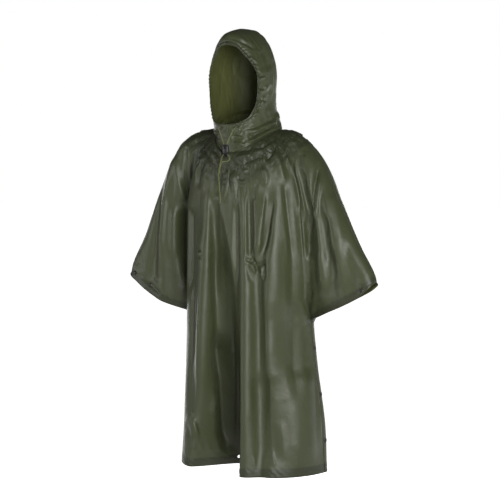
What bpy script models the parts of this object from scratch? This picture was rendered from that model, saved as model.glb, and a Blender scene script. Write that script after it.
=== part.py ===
"""Hooded nylon rain poncho, as it hangs on a wearer with both arms held a little away from the body.

The sheet is one rectangle of cloth with the hood sewn into a hole at its middle. It falls over the
shoulders as a front and a back, its long edges are the cuffs, and below the cuffs the front edge laps
over the back edge and is snapped shut. Metres, +Z up, the front faces -Y and the wearer's left is +X.
The origin is between the shoulders, where the wearer carries it.
"""

import math

import bmesh
import bpy
import numpy as np
from mathutils import Matrix, Vector
from mathutils.bvhtree import BVHTree

# ---- driving dimensions ----------------------------------------------------------------------------
WALL = 0.002  # thickness of the sheet and hood walls
TRIM_WALL = 0.001  # thickness of the neck patch and the side laps
SEAM_GAP = 0.0003  # from a seam's plane to each of the two pieces, and under what lies on the cloth
PATCH_GAP = 0.0005  # under the neck patch, which lies over the gathers
SEAM_CELL = 0.004  # the last cell beside a seam stands square to it
HEM_Z = -1.036  # height of the lower hem
CORD_DIAMETER = 0.0026
SNAP_DIAMETER = 0.0145
SNAP_HEIGHT = 0.0024
EYELET_DIAMETER = 0.0085
EYELET_HOLE = 0.0042
GROMMET_DIAMETER = 0.0180
GROMMET_HOLE = 0.0110

FRONT_COLUMNS = 64  # cells across the front, four to each gather at the neck
BACK_COLUMNS = 44
FRONT_GATHERS = 16
BACK_GATHERS = 11
HOOD_COLUMNS = 18  # cells from the face edge to the centre-back seam
RING_SAMPLES = 240  # points on a ring before it is cut into cells
ROOT_SHARE = 0.25  # share of the cells that lie outside the line where sleeve and body part
ROOT_DEPTH = 0.036  # how far the body stands out on that line
FRONT_ROWS = (0.0, 0.008, 0.045, 0.095, 0.13, 0.17, 0.21, 0.26, 0.32, 0.39, 0.45, 0.51, 0.55,
              0.58, 0.62, 0.64, 0.66, 0.68, 0.71, 0.80, 0.90, 1.0)
BACK_ROWS = (0.0, 0.008, 0.045, 0.095, 0.14, 0.20, 0.28, 0.37, 0.46, 0.51, 0.55, 0.58, 0.62, 0.64,
             0.66, 0.68, 0.71, 0.80, 0.90, 1.0)
PATCH_ROWS = (1, 2, 3)  # rows of the sheet that the neck patch covers
LAP_ROWS = (16, 17, 18, 19)  # rows of the back under the front's edge
LAP_COLUMNS = 4
NECK_LIFT = 0.0008  # the hood's lower edge over the sheet's neck edge


def table(columns, *rows):
    """A short table with named columns."""
    return {name: np.array([row[i] for row in rows], float) for i, name in enumerate(columns.split())}


# Rings of the sheet from the neck seam (t = 0) down to the hem (t = 1). Each ring starts at the centre of
# the front or back and ends on the shoulder line, the cuff or the side closing.
RINGS = table(
    "t     front_z back_z  left_x left_y  left_z  right_x right_y right_z",
    (0.00, -0.070, -0.002, 0.100, 0.000, -0.002, -0.100, 0.000, 0.007),
    (0.05, -0.100, -0.035, 0.137, 0.002, -0.006, -0.140, 0.002, 0.004),
    (0.11, -0.135, -0.080, 0.177, 0.002, -0.024, -0.190, 0.002, -0.006),
    (0.18, -0.185, -0.145, 0.214, 0.000, -0.056, -0.238, 0.000, -0.032),
    (0.25, -0.240, -0.210, 0.252, -0.003, -0.104, -0.273, -0.003, -0.082),
    (0.36, -0.330, -0.310, 0.309, -0.010, -0.213, -0.324, -0.010, -0.195),
    (0.46, -0.410, -0.405, 0.371, -0.018, -0.330, -0.370, -0.018, -0.312),
    (0.55, -0.480, -0.480, 0.436, -0.022, -0.450, -0.430, -0.022, -0.440),
    (0.58, -0.508, -0.508, 0.415, -0.020, -0.475, -0.395, -0.020, -0.470),
    (0.62, -0.545, -0.545, 0.334, -0.008, -0.516, -0.322, -0.012, -0.517),
    (0.64, -0.565, -0.565, 0.276, 0.012, -0.540, -0.283, -0.010, -0.534),
    (0.66, -0.585, -0.585, 0.223, 0.032, -0.560, -0.244, -0.006, -0.549),
    (0.68, -0.605, -0.605, 0.181, 0.048, -0.578, -0.208, -0.002, -0.564),
    (0.78, -0.735, -0.735, 0.196, 0.050, -0.728, -0.212, 0.000, -0.712),
    (0.90, -0.895, -0.888, 0.216, 0.056, -0.893, -0.223, 0.004, -0.884),
    (1.00, HEM_Z, -1.004, 0.222, 0.060, -1.037, -0.233, 0.006, -1.020),
)
WRIST_T, UNDERARM_T = 0.55, 0.68

# Body of the garment: how far it stands out from the middle plane, and its half widths, by height.
BODY = table(
    "z      front  back   left   right",
    (-1.10, 0.138, 0.125, 0.224, 0.240),
    (-0.80, 0.136, 0.122, 0.205, 0.217),
    (-0.60, 0.134, 0.122, 0.184, 0.208),
    (-0.40, 0.134, 0.122, 0.202, 0.206),
    (-0.22, 0.134, 0.118, 0.200, 0.202),
    (-0.10, 0.125, 0.103, 0.170, 0.170),
    (-0.02, 0.108, 0.088, 0.130, 0.130),
    (0.05, 0.100, 0.080, 0.110, 0.110),
)
SQUARENESS = {"front": 2.6, "back": 2.1}  # of the body's section
BODY_SPACING = 0.30  # the ring length whose even cells the body keeps beside the sleeves

# Sleeve: half thickness by distance below the arm's top line, and the share of it left along the arm.
SLEEVE = table(
    "below half",
    (0.00, 0.066),
    (0.06, 0.060),
    (0.12, 0.048),
    (0.18, 0.034),
    (0.24, 0.016),
    (0.28, 0.012),
    (0.60, 0.012),
)
ARM = table(
    "x     share",
    (0.00, 1.00),
    (0.24, 1.00),
    (0.33, 0.80),
    (0.40, 0.52),
    (0.46, 0.44),
)
SLEEVE_ROUND = 0.055  # radius over the top of the arm
NECK_ROUND = 0.100  # radius over the shoulder beside the neck
BLEND = 0.030  # softness of the hollow between body and sleeve
LEAST_DEPTH = 0.0070  # the front and back never come closer to the middle plane than this

# Folds of the front and back: a line from (top_x, top_z) through (mid_x, mid_z) to (low_x, low_z), its half
# widths, and how far it stands out (+) or in (-). A fold that ends at LOW runs off the hem.
LOW = -1.08
FOLDS = "top_x top_z mid_x mid_z low_x low_z top_wide low_wide top_rise mid_rise low_rise"
FRONT_FOLDS = table(
    FOLDS,
    (-0.052, -0.25, -0.056, -0.56, -0.060, LOW, 0.020, 0.070, -0.010, -0.030, -0.205),  # centre pleat
    (-0.085, -0.20, -0.092, -0.52, -0.112, -0.85, 0.014, 0.020, 0.006, 0.012, 0.004),  # ridge right of it
    (-0.128, -0.24, -0.135, -0.56, -0.140, -0.90, 0.022, 0.030, -0.004, -0.008, -0.006),
    (0.047, -0.22, 0.052, -0.56, 0.054, LOW, 0.012, 0.028, 0.008, 0.016, 0.022),  # leading ridge
    (0.028, -0.20, 0.026, -0.42, 0.018, -0.62, 0.009, 0.012, -0.006, -0.010, 0.0),
    (0.070, -0.18, 0.077, -0.56, 0.092, LOW, 0.014, 0.032, -0.006, -0.016, -0.022),
    (0.090, -0.18, 0.094, -0.34, 0.098, -0.44, 0.013, 0.012, 0.007, 0.012, 0.0),  # tongue above the waist
    (0.130, -0.19, 0.118, -0.36, 0.104, -0.46, 0.014, 0.018, -0.006, -0.012, 0.0),
    (0.150, -0.24, 0.152, -0.56, 0.134, LOW, 0.034, 0.045, 0.004, 0.012, 0.016),  # broad front ridge
    (0.180, -0.34, 0.176, -0.66, 0.182, LOW, 0.018, 0.024, -0.002, -0.006, -0.014),
    (0.175, -0.07, 0.218, -0.32, 0.212, -0.48, 0.020, 0.024, -0.008, -0.018, -0.002),  # before the arm
    (-0.180, -0.07, -0.220, -0.32, -0.218, -0.46, 0.020, 0.024, -0.008, -0.018, -0.002),
    (0.255, -0.14, 0.292, -0.34, 0.302, -0.52, 0.014, 0.016, -0.006, -0.012, 0.0),  # sleeve folds
    (0.280, -0.20, 0.325, -0.38, 0.348, -0.52, 0.014, 0.018, 0.004, 0.008, 0.003),
    (-0.262, -0.12, -0.290, -0.34, -0.300, -0.54, 0.016, 0.022, 0.006, 0.012, 0.008),
    (-0.290, -0.16, -0.325, -0.36, -0.345, -0.50, 0.014, 0.018, -0.005, -0.010, -0.004),
)
BACK_FOLDS = table(
    FOLDS,
    (0.000, -0.18, 0.004, -0.56, 0.010, LOW, 0.020, 0.036, -0.006, -0.016, -0.030),  # centre-back hollow
    (0.042, -0.20, 0.046, -0.56, 0.060, LOW, 0.018, 0.030, 0.006, 0.012, 0.018),
    (-0.040, -0.20, -0.044, -0.60, -0.052, LOW, 0.018, 0.032, 0.006, 0.014, 0.022),
    (0.088, -0.18, 0.092, -0.52, 0.110, LOW, 0.018, 0.030, -0.006, -0.014, -0.024),
    (-0.085, -0.22, -0.092, -0.60, -0.104, LOW, 0.018, 0.028, -0.005, -0.014, -0.026),
    (0.130, -0.20, 0.138, -0.56, 0.158, LOW, 0.018, 0.026, 0.005, 0.012, 0.018),
    (-0.126, -0.20, -0.132, -0.56, -0.152, LOW, 0.018, 0.026, 0.006, 0.012, 0.018),
    (0.175, -0.07, 0.218, -0.32, 0.212, -0.48, 0.020, 0.024, -0.006, -0.016, -0.002),  # behind the arm
    (-0.180, -0.07, -0.222, -0.32, -0.218, -0.52, 0.016, 0.022, -0.006, -0.020, -0.010),
    (0.262, -0.16, 0.296, -0.36, 0.312, -0.52, 0.018, 0.024, 0.005, 0.010, 0.006),
    (-0.268, -0.16, -0.300, -0.36, -0.318, -0.52, 0.018, 0.024, 0.005, 0.010, 0.006),
)

# Rows of the hood from the neck seam (t = 0) to the seam over the crown (t = 1). Each row starts at the
# centre front or the face edge, passes round the side at half_x and ends on the centre-back seam.
HOOD = table(
    "t     face_x face_y  face_z half_x  side_y  back_y  back_z arch   lean",
    (0.00, 0.000, -0.118, -0.070, 0.1000, 0.000, 0.088, -0.002, 0.000, 0.000),
    (0.10, 0.000, -0.122, -0.043, 0.0960, -0.010, 0.082, 0.024, 0.000, -0.001),
    (0.20, 0.000, -0.130, -0.012, 0.0900, -0.020, 0.077, 0.052, 0.000, -0.003),
    (0.28, 0.000, -0.135, 0.012, 0.0880, -0.026, 0.075, 0.076, -0.007, -0.005),
    (0.31, 0.026, -0.133, 0.015, 0.0875, -0.028, 0.075, 0.086, -0.005, -0.005),
    (0.35, 0.045, -0.126, 0.0215, 0.0870, -0.030, 0.075, 0.098, -0.003, -0.005),
    (0.40, 0.061, -0.115, 0.032, 0.0870, -0.032, 0.075, 0.114, -0.001, -0.005),
    (0.46, 0.073, -0.106, 0.052, 0.0880, -0.034, 0.074, 0.134, 0.000, -0.005),
    (0.53, 0.0815, -0.100, 0.078, 0.0900, -0.036, 0.073, 0.158, 0.000, -0.005),
    (0.60, 0.085, -0.0975, 0.110, 0.0920, -0.038, 0.071, 0.184, 0.003, -0.005),
    (0.68, 0.086, -0.0975, 0.146, 0.0925, -0.040, 0.066, 0.213, 0.006, -0.006),
    (0.75, 0.081, -0.100, 0.172, 0.0885, -0.042, 0.056, 0.238, 0.012, -0.006),
    (0.81, 0.070, -0.106, 0.192, 0.0790, -0.046, 0.043, 0.259, 0.022, -0.006),
    (0.88, 0.048, -0.117, 0.220, 0.0600, -0.048, 0.024, 0.279, 0.030, -0.006),
    (0.94, 0.026, -0.126, 0.237, 0.0350, -0.048, 0.005, 0.292, 0.035, -0.006),
    (1.00, 0.000, -0.134, 0.248, 0.0006, -0.048, -0.014, 0.298, 0.037, -0.006),
)
HOOD_SQUARENESS = 2.2
HOOD_ROWS = (0.0, 0.05, 0.10, 0.15, 0.20, 0.24, 0.28, 0.34, 0.40, 0.46, 0.53, 0.60, 0.68, 0.75,
             0.81, 0.88, 0.94)
# Folds of the hood: a line over the panel from (from_v, from_t) to (to_v, to_t), its half width in t, and
# how far it stands out on the wearer's left and right.
HOOD_FOLDS = table(
    "from_v from_t to_v  to_t  wide   left    right",
    (0.20, 0.165, 0.56, 0.19, 0.050, 0.008, 0.005),  # the hood hangs over the neck
    (0.18, 0.09, 0.56, 0.110, 0.045, -0.006, -0.003),
    (0.62, 0.22, 0.95, 0.210, 0.060, 0.004, 0.004),
)

SIDE_SNAP_Z = (-0.66, -0.80, -0.94)
CUFF_SNAPS = table(
    "x      front_z back_z",
    (0.405, -0.474, -0.466),
    (-0.405, -0.446, -0.446),
    (-0.344, -0.482, -0.482),
)
GROMMET_X, GROMMET_Z = -0.062, -1.016
EYELET_X, EYELET_Z = 0.026, 0.005

# Cord lock, and the middle lines of the cords as (x, y, z).
LOCK_CENTRE = (0.0, -0.1480, -0.0615)
LOCK_SIZE = (0.0210, 0.0130, 0.0270)
BUTTON_CENTRE = (0.0, -0.1480, -0.0799)
BUTTON_SIZE = (0.0098, 0.0084, 0.0092)
CORD_PATHS = {
    "cord_upper_left": ((0.0262, -0.1293, 0.0049), (0.0280, -0.1352, 0.0038), (0.0258, -0.1420, -0.0030),
                        (0.0165, -0.1468, -0.0200), (0.0085, -0.1480, -0.0390), (0.0055, -0.1480, -0.0473)),
    "cord_upper_right": ((-0.0262, -0.1321, 0.0049), (-0.0280, -0.1380, 0.0036),
                         (-0.0258, -0.1440, -0.0030), (-0.0170, -0.1468, -0.0190),
                         (-0.0090, -0.1480, -0.0380), (-0.0055, -0.1480, -0.0473)),
    "cord_lower_right": ((-0.0068, -0.1480, -0.0764), (-0.0115, -0.1475, -0.0820),
                         (-0.0165, -0.1470, -0.0930), (-0.0250, -0.1450, -0.1180),
                         (-0.0270, -0.1445, -0.1375), (-0.0250, -0.1445, -0.1640),
                         (-0.0220, -0.1445, -0.1950), (-0.0200, -0.1440, -0.2235)),
    "cord_lower_left": ((0.0068, -0.1480, -0.0766), (0.0125, -0.1485, -0.0815), (0.0160, -0.1490, -0.0885),
                        (0.0105, -0.1490, -0.0960), (0.0010, -0.1490, -0.0985),
                        (-0.0070, -0.1490, -0.0970), (-0.0130, -0.1485, -0.1000),
                        (-0.0185, -0.1475, -0.1100), (-0.0214, -0.1465, -0.1220),
                        (-0.0232, -0.1460, -0.1320)),
}


# ---- curves ----------------------------------------------------------------------------------------
def smooth(tab, column, at, key=None):
    """Smooth curve through a table's column that never overshoots its rows."""
    key = key or next(iter(tab))
    x, y = tab[key], tab[column]
    if x[0] > x[-1]:
        x, y = x[::-1], y[::-1]
    at = np.clip(at, x[0], x[-1])
    step = np.diff(x)
    slope = np.diff(y) / step
    m = np.zeros_like(y)
    same_way = slope[:-1] * slope[1:] > 0
    w1, w2 = 2 * step[1:] + step[:-1], step[1:] + 2 * step[:-1]
    with np.errstate(divide="ignore", invalid="ignore"):
        mean = (w1 + w2) / (w1 / slope[:-1] + w2 / slope[1:])
    m[1:-1] = np.where(same_way, mean, 0.0)
    m[0], m[-1] = slope[0], slope[-1]
    i = np.clip(np.searchsorted(x, at, side="right") - 1, 0, len(step) - 1)
    h = step[i]
    u = (at - x[i]) / h
    return (
        y[i] * (1 + 2 * u) * (1 - u) ** 2
        + m[i] * h * u * (1 - u) ** 2
        + y[i + 1] * u**2 * (3 - 2 * u)
        + m[i + 1] * h * u**2 * (u - 1)
    )


def ease(x):
    """0 below 0, 1 above 1, and smooth between."""
    x = np.clip(x, 0.0, 1.0)
    return x * x * (3 - 2 * x)


def bump(x):
    """1 at 0, falling smoothly to 0 at -1 and 1."""
    return np.clip(1 - x**2, 0.0, 1.0) ** 2


def run_along(points):
    """Distance along a polyline at each of its points."""
    return np.concatenate([[0.0], np.cumsum(np.linalg.norm(np.diff(points, axis=0), axis=1))])


def spaced(points, count, near=1.0, pinned=0, pin=0.0, hold=0.0):
    """count + 1 points along a polyline; with near below 1 the first cells are shorter than the last.

    With hold above 0, the last `pinned` cells start at the distance pin, or part of the way to it.
    """
    run = run_along(points)
    share = np.linspace(0.0, 1.0, count + 1)
    at = run[-1] * (near * share + (1 - near) * share**3)
    if hold > 0:
        k = count - pinned
        free = at[k]
        held = free + hold * (pin - free)
        at = np.where(share <= share[k], at * held / free,
                      held + (at - free) * (run[-1] - held) / (run[-1] - free))
    return np.stack([np.interp(at, run, points[:, k]) for k in range(3)], axis=1)


def unit(v):
    return v / np.linalg.norm(v)


def rounded(points):
    """A polyline with its corners cut twice; the ends stay."""
    for _ in range(2):
        cut_points = np.stack([0.75 * points[:-1] + 0.25 * points[1:],
                               0.25 * points[:-1] + 0.75 * points[1:]], axis=1).reshape(-1, 3)
        points = np.concatenate([points[:1], cut_points[1:-1], points[-1:]])
    return points


def length(points):
    return float(np.linalg.norm(np.diff(points, axis=0), axis=1).sum())


# ---- the sheet --------------------------------------------------------------------------------------
def arm_line(side):
    """Top line of the shoulder and arm in the X-Z plane, from the neck to the wrist."""
    t = np.linspace(0.0, WRIST_T, 60)
    name = "left" if side > 0 else "right"
    return np.stack([smooth(RINGS, name + "_x", t), smooth(RINGS, name + "_z", t)], axis=1)


ARM_LINES = {side: arm_line(side) for side in (1, -1)}


def below_arm(x, z):
    """Distance of points from the top line of the shoulder and arm."""
    nearest = np.full(x.shape, 9.0)
    for line in ARM_LINES.values():
        for (ax, az), (bx, bz) in zip(line[:-1], line[1:]):
            dx, dz = bx - ax, bz - az
            along = np.clip(((x - ax) * dx + (z - az) * dz) / (dx * dx + dz * dz), 0.0, 1.0)
            nearest = np.minimum(nearest, np.hypot(x - ax - along * dx, z - az - along * dz))
    return nearest


def section(share, face):
    """Depth of the body's section at a share of the way to its side, as a share of the whole depth."""
    n = SQUARENESS[face]
    return (1 - share**n) ** (1 / n)


def body_depth(x, z, face):
    half = np.where(x > 0, smooth(BODY, "left", z, "z"), smooth(BODY, "right", z, "z"))
    return smooth(BODY, face, z, "z") * section(np.clip(np.abs(x) / half, 0.0, 1.0), face)


def depth(x, z, face):
    """How far the cloth stands out from the middle plane above the underarm."""
    body = body_depth(x, z, face)
    below = below_arm(x, z)
    share = smooth(ARM, "share", np.abs(x))
    sleeve = smooth(SLEEVE, "half", below) * share
    soft = BLEND * np.clip((body + sleeve) / 0.05, 0.05, 1.0)
    mix = np.clip(0.5 + 0.5 * (body - sleeve) / soft, 0.0, 1.0)
    both = sleeve + (body - sleeve) * mix + 0.5 * soft * mix * (1 - mix)
    radius = SLEEVE_ROUND * share + (NECK_ROUND - SLEEVE_ROUND) * ease((0.24 - np.abs(x)) / 0.12)
    over = np.clip(below / radius, 0.0, 1.0)
    return both * np.sqrt(1 - (1 - over) ** 2)


def is_cuff(t):
    """Rings between the wrist and the underarm end on an open edge."""
    return WRIST_T < t < UNDERARM_T


def half_ring(t, face, side, cells):
    """Half of one ring without folds, from the centre of the front or back to the left or right."""
    name = "left" if side > 0 else "right"
    out = -1.0 if face == "front" else 1.0
    end_x, end_z = smooth(RINGS, name + "_x", t), smooth(RINGS, name + "_z", t)
    centre_z = smooth(RINGS, face + "_z", t)
    across = np.sin(np.linspace(0.0, math.pi / 2, RING_SAMPLES))
    x = end_x * across
    z = centre_z + (end_z - centre_z) * across**2
    if t < UNDERARM_T:
        stand = depth(x, z, face)
        body = body_depth(x, z, face)
    else:
        stand = smooth(BODY, face, z, "z") * section(across, face)
        body = stand.copy()
        run = run_along(np.stack([x, stand, 0.0 * z], axis=1))
        near_arm = 1 - ease((t - UNDERARM_T) / 0.1)
        z += near_arm * (end_z - centre_z) * ((run / run[-1]) ** 2 - across**2)
    if not is_cuff(t):
        stand[-1] = 0.0
    line = np.stack([x, out * stand, z], axis=1)
    spacing = BODY_SPACING + 0.06 * float(ease((UNDERARM_T - t) / 0.25))
    root = RING_SAMPLES - 1 - np.argmax(body[::-1] >= ROOT_DEPTH)
    hold = float(ease((t - 0.24) / 0.26) * (1 - ease((t - UNDERARM_T) / 0.12)))
    points = spaced(line, cells, min(1.0, spacing / length(line)), int(ROOT_SHARE * cells),
                    run_along(line)[root], hold)
    end = points[-1].copy()
    beside = np.array([0.0, out, 0.0])
    if is_cuff(t):
        beside = points[-2] - end
        beside /= np.linalg.norm(beside)
    return np.concatenate([points[:-1], [end + SEAM_CELL * beside], [end]])


def middle_plane(grid, rows):
    """Where the plane between front and back lies: it leans with the arms and the side closings."""
    t = np.array(rows)[:, None]
    lean = np.zeros(grid.shape[:2])
    for name, side in (("left", 1.0), ("right", -1.0)):
        end_x, end_y = smooth(RINGS, name + "_x", t), smooth(RINGS, name + "_y", t)
        root_x, root_y = smooth(RINGS, name + "_x", UNDERARM_T), smooth(RINGS, name + "_y", UNDERARM_T)
        share = np.clip(grid[..., 0] / end_x, 0.0, 1.0)
        from_end = end_y * share**4
        inner = np.clip(grid[..., 0] / root_x, 0.0, 1.0)
        outer = np.clip((grid[..., 0] - root_x) / (end_x - root_x + side * 1e-6), 0.0, 1.0)
        from_root = root_y * inner**4 + (end_y - root_y) * outer
        near_root = np.where(t < UNDERARM_T, ease((t - 0.58) / 0.08), 0.0)
        lean += np.where(side * grid[..., 0] > 0, from_end + near_root * (from_root - from_end), 0.0)
    return lean


def across_shares(cells):
    """Share of the way across the front or back at each column, with the thin cells beside the seams."""
    even = np.linspace(0.0, 1.0, cells + 1)
    return np.concatenate([[0.0, 0.002], even[1:-1], [0.998, 1.0]])


def outward(grid, out):
    """Unit normals of a grid of points that face away from the middle plane at its centre."""
    n = np.cross(np.gradient(grid, axis=0), np.gradient(grid, axis=1))
    n /= np.linalg.norm(n, axis=2, keepdims=True) + 1e-12
    middle = n[:, n.shape[1] // 2, 1]
    return n * np.where(middle * out < 0, -1.0, 1.0)[:, None, None]


def fold_height(x, z, folds):
    """Sum of the folds' heights at points of the base sheet."""
    height = np.zeros_like(x)
    for i in range(len(folds["top_x"])):
        f = {name: folds[name][i] for name in folds}
        line = table("z x wide rise",
                     (f["low_z"], f["low_x"], f["low_wide"], f["low_rise"]),
                     (f["mid_z"], f["mid_x"], 0.5 * (f["low_wide"] + f["top_wide"]), f["mid_rise"]),
                     (f["top_z"], f["top_x"], f["top_wide"], f["top_rise"]))
        offset = (x - smooth(line, "x", z, "z")) / smooth(line, "wide", z, "z")
        inside = ease((f["top_z"] + 0.06 - z) / 0.10) * ease((z - f["low_z"] + 0.04) / 0.08)
        height += smooth(line, "rise", z, "z") * inside * bump(offset / 1.6)
    return height


def gather_height(t, across, count):
    """Gathers that spread from the neck seam: each has its own height and length."""
    wave = across * count
    number = np.floor(wave)
    size = 0.0042 + 0.0016 * np.sin(2.3 * number + 0.7)
    reach = 0.17 + 0.06 * np.sin(1.7 * number + 0.4)
    fade = ease(t / 0.035) * (1 - ease((t - 0.04) / reach))
    return size * fade * -np.cos(2 * math.pi * wave)


def sheet(face, rows, cells):
    """The front or back of the sheet with its folds and gathers, as a grid of outer points."""
    out = -1.0 if face == "front" else 1.0
    folds, gathers = (FRONT_FOLDS, FRONT_GATHERS) if face == "front" else (BACK_FOLDS, BACK_GATHERS)
    base = []
    for t in rows:
        right = half_ring(t, face, -1, cells // 2)
        left = half_ring(t, face, 1, cells // 2)
        base.append(np.concatenate([right[:0:-1], left]))
    base = np.array(base)
    across = np.ones(len(rows))[:, None] * across_shares(cells)[None, :]
    t = np.array(rows)[:, None] * np.ones_like(across)
    cuff = np.array([0.8 if is_cuff(row) else 0.0 for row in rows])[:, None]
    fade = np.maximum(ease((np.minimum(across, 1 - across) - 0.003) / 0.05), cuff)
    grid = base + outward(base, out) * (fade * gather_height(t, across, gathers))[..., None]
    stand = out * grid[..., 1] + fade * fold_height(base[..., 0], base[..., 2], folds)
    least = np.minimum(out * base[..., 1], LEAST_DEPTH)
    stand = np.where(np.abs(base[..., 0]) > 0.15, np.maximum(stand, least), stand)
    grid[..., 1] = out * (stand + SEAM_GAP) + middle_plane(base, rows)
    return grid


# ---- the hood ---------------------------------------------------------------------------------------
def neck_edge(side):
    """The sheet's neck seam on one side, from the centre front round to the centre back."""
    front = half_ring(0.0, "front", side, FRONT_COLUMNS // 2)
    back = half_ring(0.0, "back", side, BACK_COLUMNS // 2)
    return np.concatenate([front, back[-2::-1]])


def hood_row(t, side):
    """One row of a hood panel, from the centre front or face edge to the centre-back seam."""
    r = {name: float(smooth(HOOD, name, t)) for name in HOOD}
    n = HOOD_SQUARENESS
    start = (1 - min(r["face_x"] / r["half_x"], 0.985) ** n) ** (1 / n)
    front_depth = (r["side_y"] - r["face_y"]) / start
    angle = np.linspace(math.acos(start ** (n / 2)), math.pi, RING_SAMPLES)
    share = np.abs(np.cos(angle)) ** (2 / n)
    x = r["half_x"] * np.abs(np.sin(angle)) ** (2 / n)
    y = r["side_y"] + np.where(np.cos(angle) > 0, -front_depth, r["back_y"] - r["side_y"]) * share
    line = np.stack([side * x, y, np.zeros_like(x)], axis=1)
    run = run_along(line)
    g = run / run[-1]
    bow = np.sin(math.pi * g ** (0.4 if r["arch"] > 0 else 0.7))
    line[:, 2] = r["face_z"] + (r["back_z"] - r["face_z"]) * ease(g) + r["arch"] * bow
    return line


def hood_panel(side):
    """One half of the hood as a grid of outer points, rows from the neck seam up to the crown seam."""
    neck = spaced(neck_edge(side), HOOD_COLUMNS)
    first = spaced(hood_row(0.0, side), HOOD_COLUMNS)
    rows = []
    for t in HOOD_ROWS:
        rows.append(spaced(hood_row(t, side), HOOD_COLUMNS) + (neck - first) * (1 - ease(t / 0.2)))
    rows.append(spaced(hood_row(1.0, side), HOOD_COLUMNS))
    grid = np.array(rows)
    t = np.array(HOOD_ROWS + (1.0,))[:, None] * np.ones(HOOD_COLUMNS + 1)[None, :]
    v = np.ones(len(t))[:, None] * np.linspace(0.0, 1.0, HOOD_COLUMNS + 1)[None, :]
    n = np.cross(np.gradient(grid, axis=0), np.gradient(grid, axis=1))
    n /= np.linalg.norm(n, axis=2, keepdims=True) + 1e-12
    n *= np.where(n[..., 0] * side < 0, -1.0, 1.0)[..., None]
    rise = np.zeros_like(t)
    for i in range(len(HOOD_FOLDS["wide"])):
        f = {name: HOOD_FOLDS[name][i] for name in HOOD_FOLDS}
        along = (v - f["from_v"]) / (f["to_v"] - f["from_v"])
        line_t = f["from_t"] + (f["to_t"] - f["from_t"]) * along
        ends = ease((along + 0.15) / 0.3) * ease((1.15 - along) / 0.3)
        rise += (f["left"] if side > 0 else f["right"]) * ends * bump((t - line_t) / f["wide"])
    n[:, 0, 0] = 0.0
    n[:, -1, 0] = 0.0
    grid += n * (rise * ease(t / 0.05) * ease((1 - t) / 0.05))[..., None]
    grid[0, :, 2] += NECK_LIFT
    grid = seam_cells(grid, side)
    lean = smooth(HOOD, "lean", np.array(HOOD_ROWS + (1.0, 1.0)))
    grid[..., 0] += lean[:, None]
    return grid


def seam_cells(grid, side):
    """Adds the thin cells that stand square to the centre front, crown and centre-back seams."""
    closed = sum(1 for t in HOOD_ROWS if t <= 0.28)
    top = grid[-1:].copy()
    top[..., 0] = side * (SEAM_GAP + SEAM_CELL)
    grid = np.concatenate([grid[:-1], top, grid[-1:]])
    grid[-1, :, 0] = side * SEAM_GAP
    edge, back = grid[:, :1].copy(), grid[:, -1:].copy()
    edge_beside = 0.5 * (edge + grid[:, 1:2])
    edge_beside[:closed] = edge[:closed]
    edge_beside[:closed, :, 0] = side * (SEAM_GAP + SEAM_CELL)
    edge[:closed, :, 0] = side * SEAM_GAP
    down = SEAM_CELL * unit(back[-3, 0] - back[-1, 0])
    ahead = SEAM_CELL * unit(grid[-1, -2] - back[-1, 0])
    back[-2] += down
    back_beside = back.copy()
    back_beside[-2:] += ahead
    back_beside[..., 0] = side * (SEAM_GAP + SEAM_CELL)
    back_beside[-1, :, 0] = side * SEAM_GAP
    back[..., 0] = side * SEAM_GAP
    return np.concatenate([edge, edge_beside, grid[:, 1:-1], back_beside, back], axis=1)


# ---- objects ----------------------------------------------------------------------------------------
def material(name, colour, roughness, metallic=0.0):
    made = bpy.data.materials.new(name)
    made.use_nodes = True
    shader = made.node_tree.nodes["Principled BSDF"]
    shader.inputs["Base Color"].default_value = (*colour, 1.0)
    shader.inputs["Roughness"].default_value = roughness
    shader.inputs["Metallic"].default_value = metallic
    return made


def add_object(name, mesh, collection, finish):
    made = bpy.data.objects.new(name, mesh)
    made.data.materials.append(finish)
    collection.objects.link(made)
    return made


def grid_mesh(name, grid, facing, slants, closed=False, swapped=()):
    """Open surface of triangles through a grid of points; facing is 1 or -1 and turns them outwards.

    slants says for each column of cells whether the diagonal runs down and back to the column's start;
    in the swapped rows it runs the other way.
    """
    rows, columns = grid.shape[:2]
    faces = []
    for r in range(rows - 1):
        for c in range(columns if closed else columns - 1):
            d = (c + 1) % columns
            a, b = r * columns + c, r * columns + d
            e, f = (r + 1) * columns + c, (r + 1) * columns + d
            if slants[c] != (r in swapped):
                pair = ((a, b, e), (b, f, e))
            else:
                pair = ((a, b, f), (a, f, e))
            faces += [loop if facing > 0 else loop[::-1] for loop in pair]
    mesh = bpy.data.meshes.new(name)
    mesh.from_pydata([tuple(p) for p in grid.reshape(-1, 3)], [], faces)
    mesh.shade_smooth()
    return mesh


def mirrored_slants(columns):
    """Diagonals that run down and away from the middle column."""
    half = columns // 2
    return [True] * half + [False] * half


def cloth(name, mesh, thickness, collection, finish):
    """A wall that grows inwards from an open surface."""
    made = add_object(name, mesh, collection, finish)
    wall = made.modifiers.new("wall", "SOLIDIFY")
    wall.thickness = thickness
    wall.offset = -1.0
    return made


def raised(mesh, height):
    """The points of a mesh moved out along its normals."""
    for vertex in mesh.vertices:
        vertex.co = vertex.co + vertex.normal * height
    return mesh


def surface_tree(mesh):
    return BVHTree.FromPolygons([v.co for v in mesh.vertices], [p.vertices for p in mesh.polygons])


def facing_point(mesh, x, z, face):
    """The point of a surface at (x, z) that is met first from the front or the back."""
    out = -1.0 if face == "front" else 1.0
    place, _, _, _ = surface_tree(mesh).ray_cast(Vector((x, out, z)), Vector((0.0, -out, 0.0)))
    return place


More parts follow.
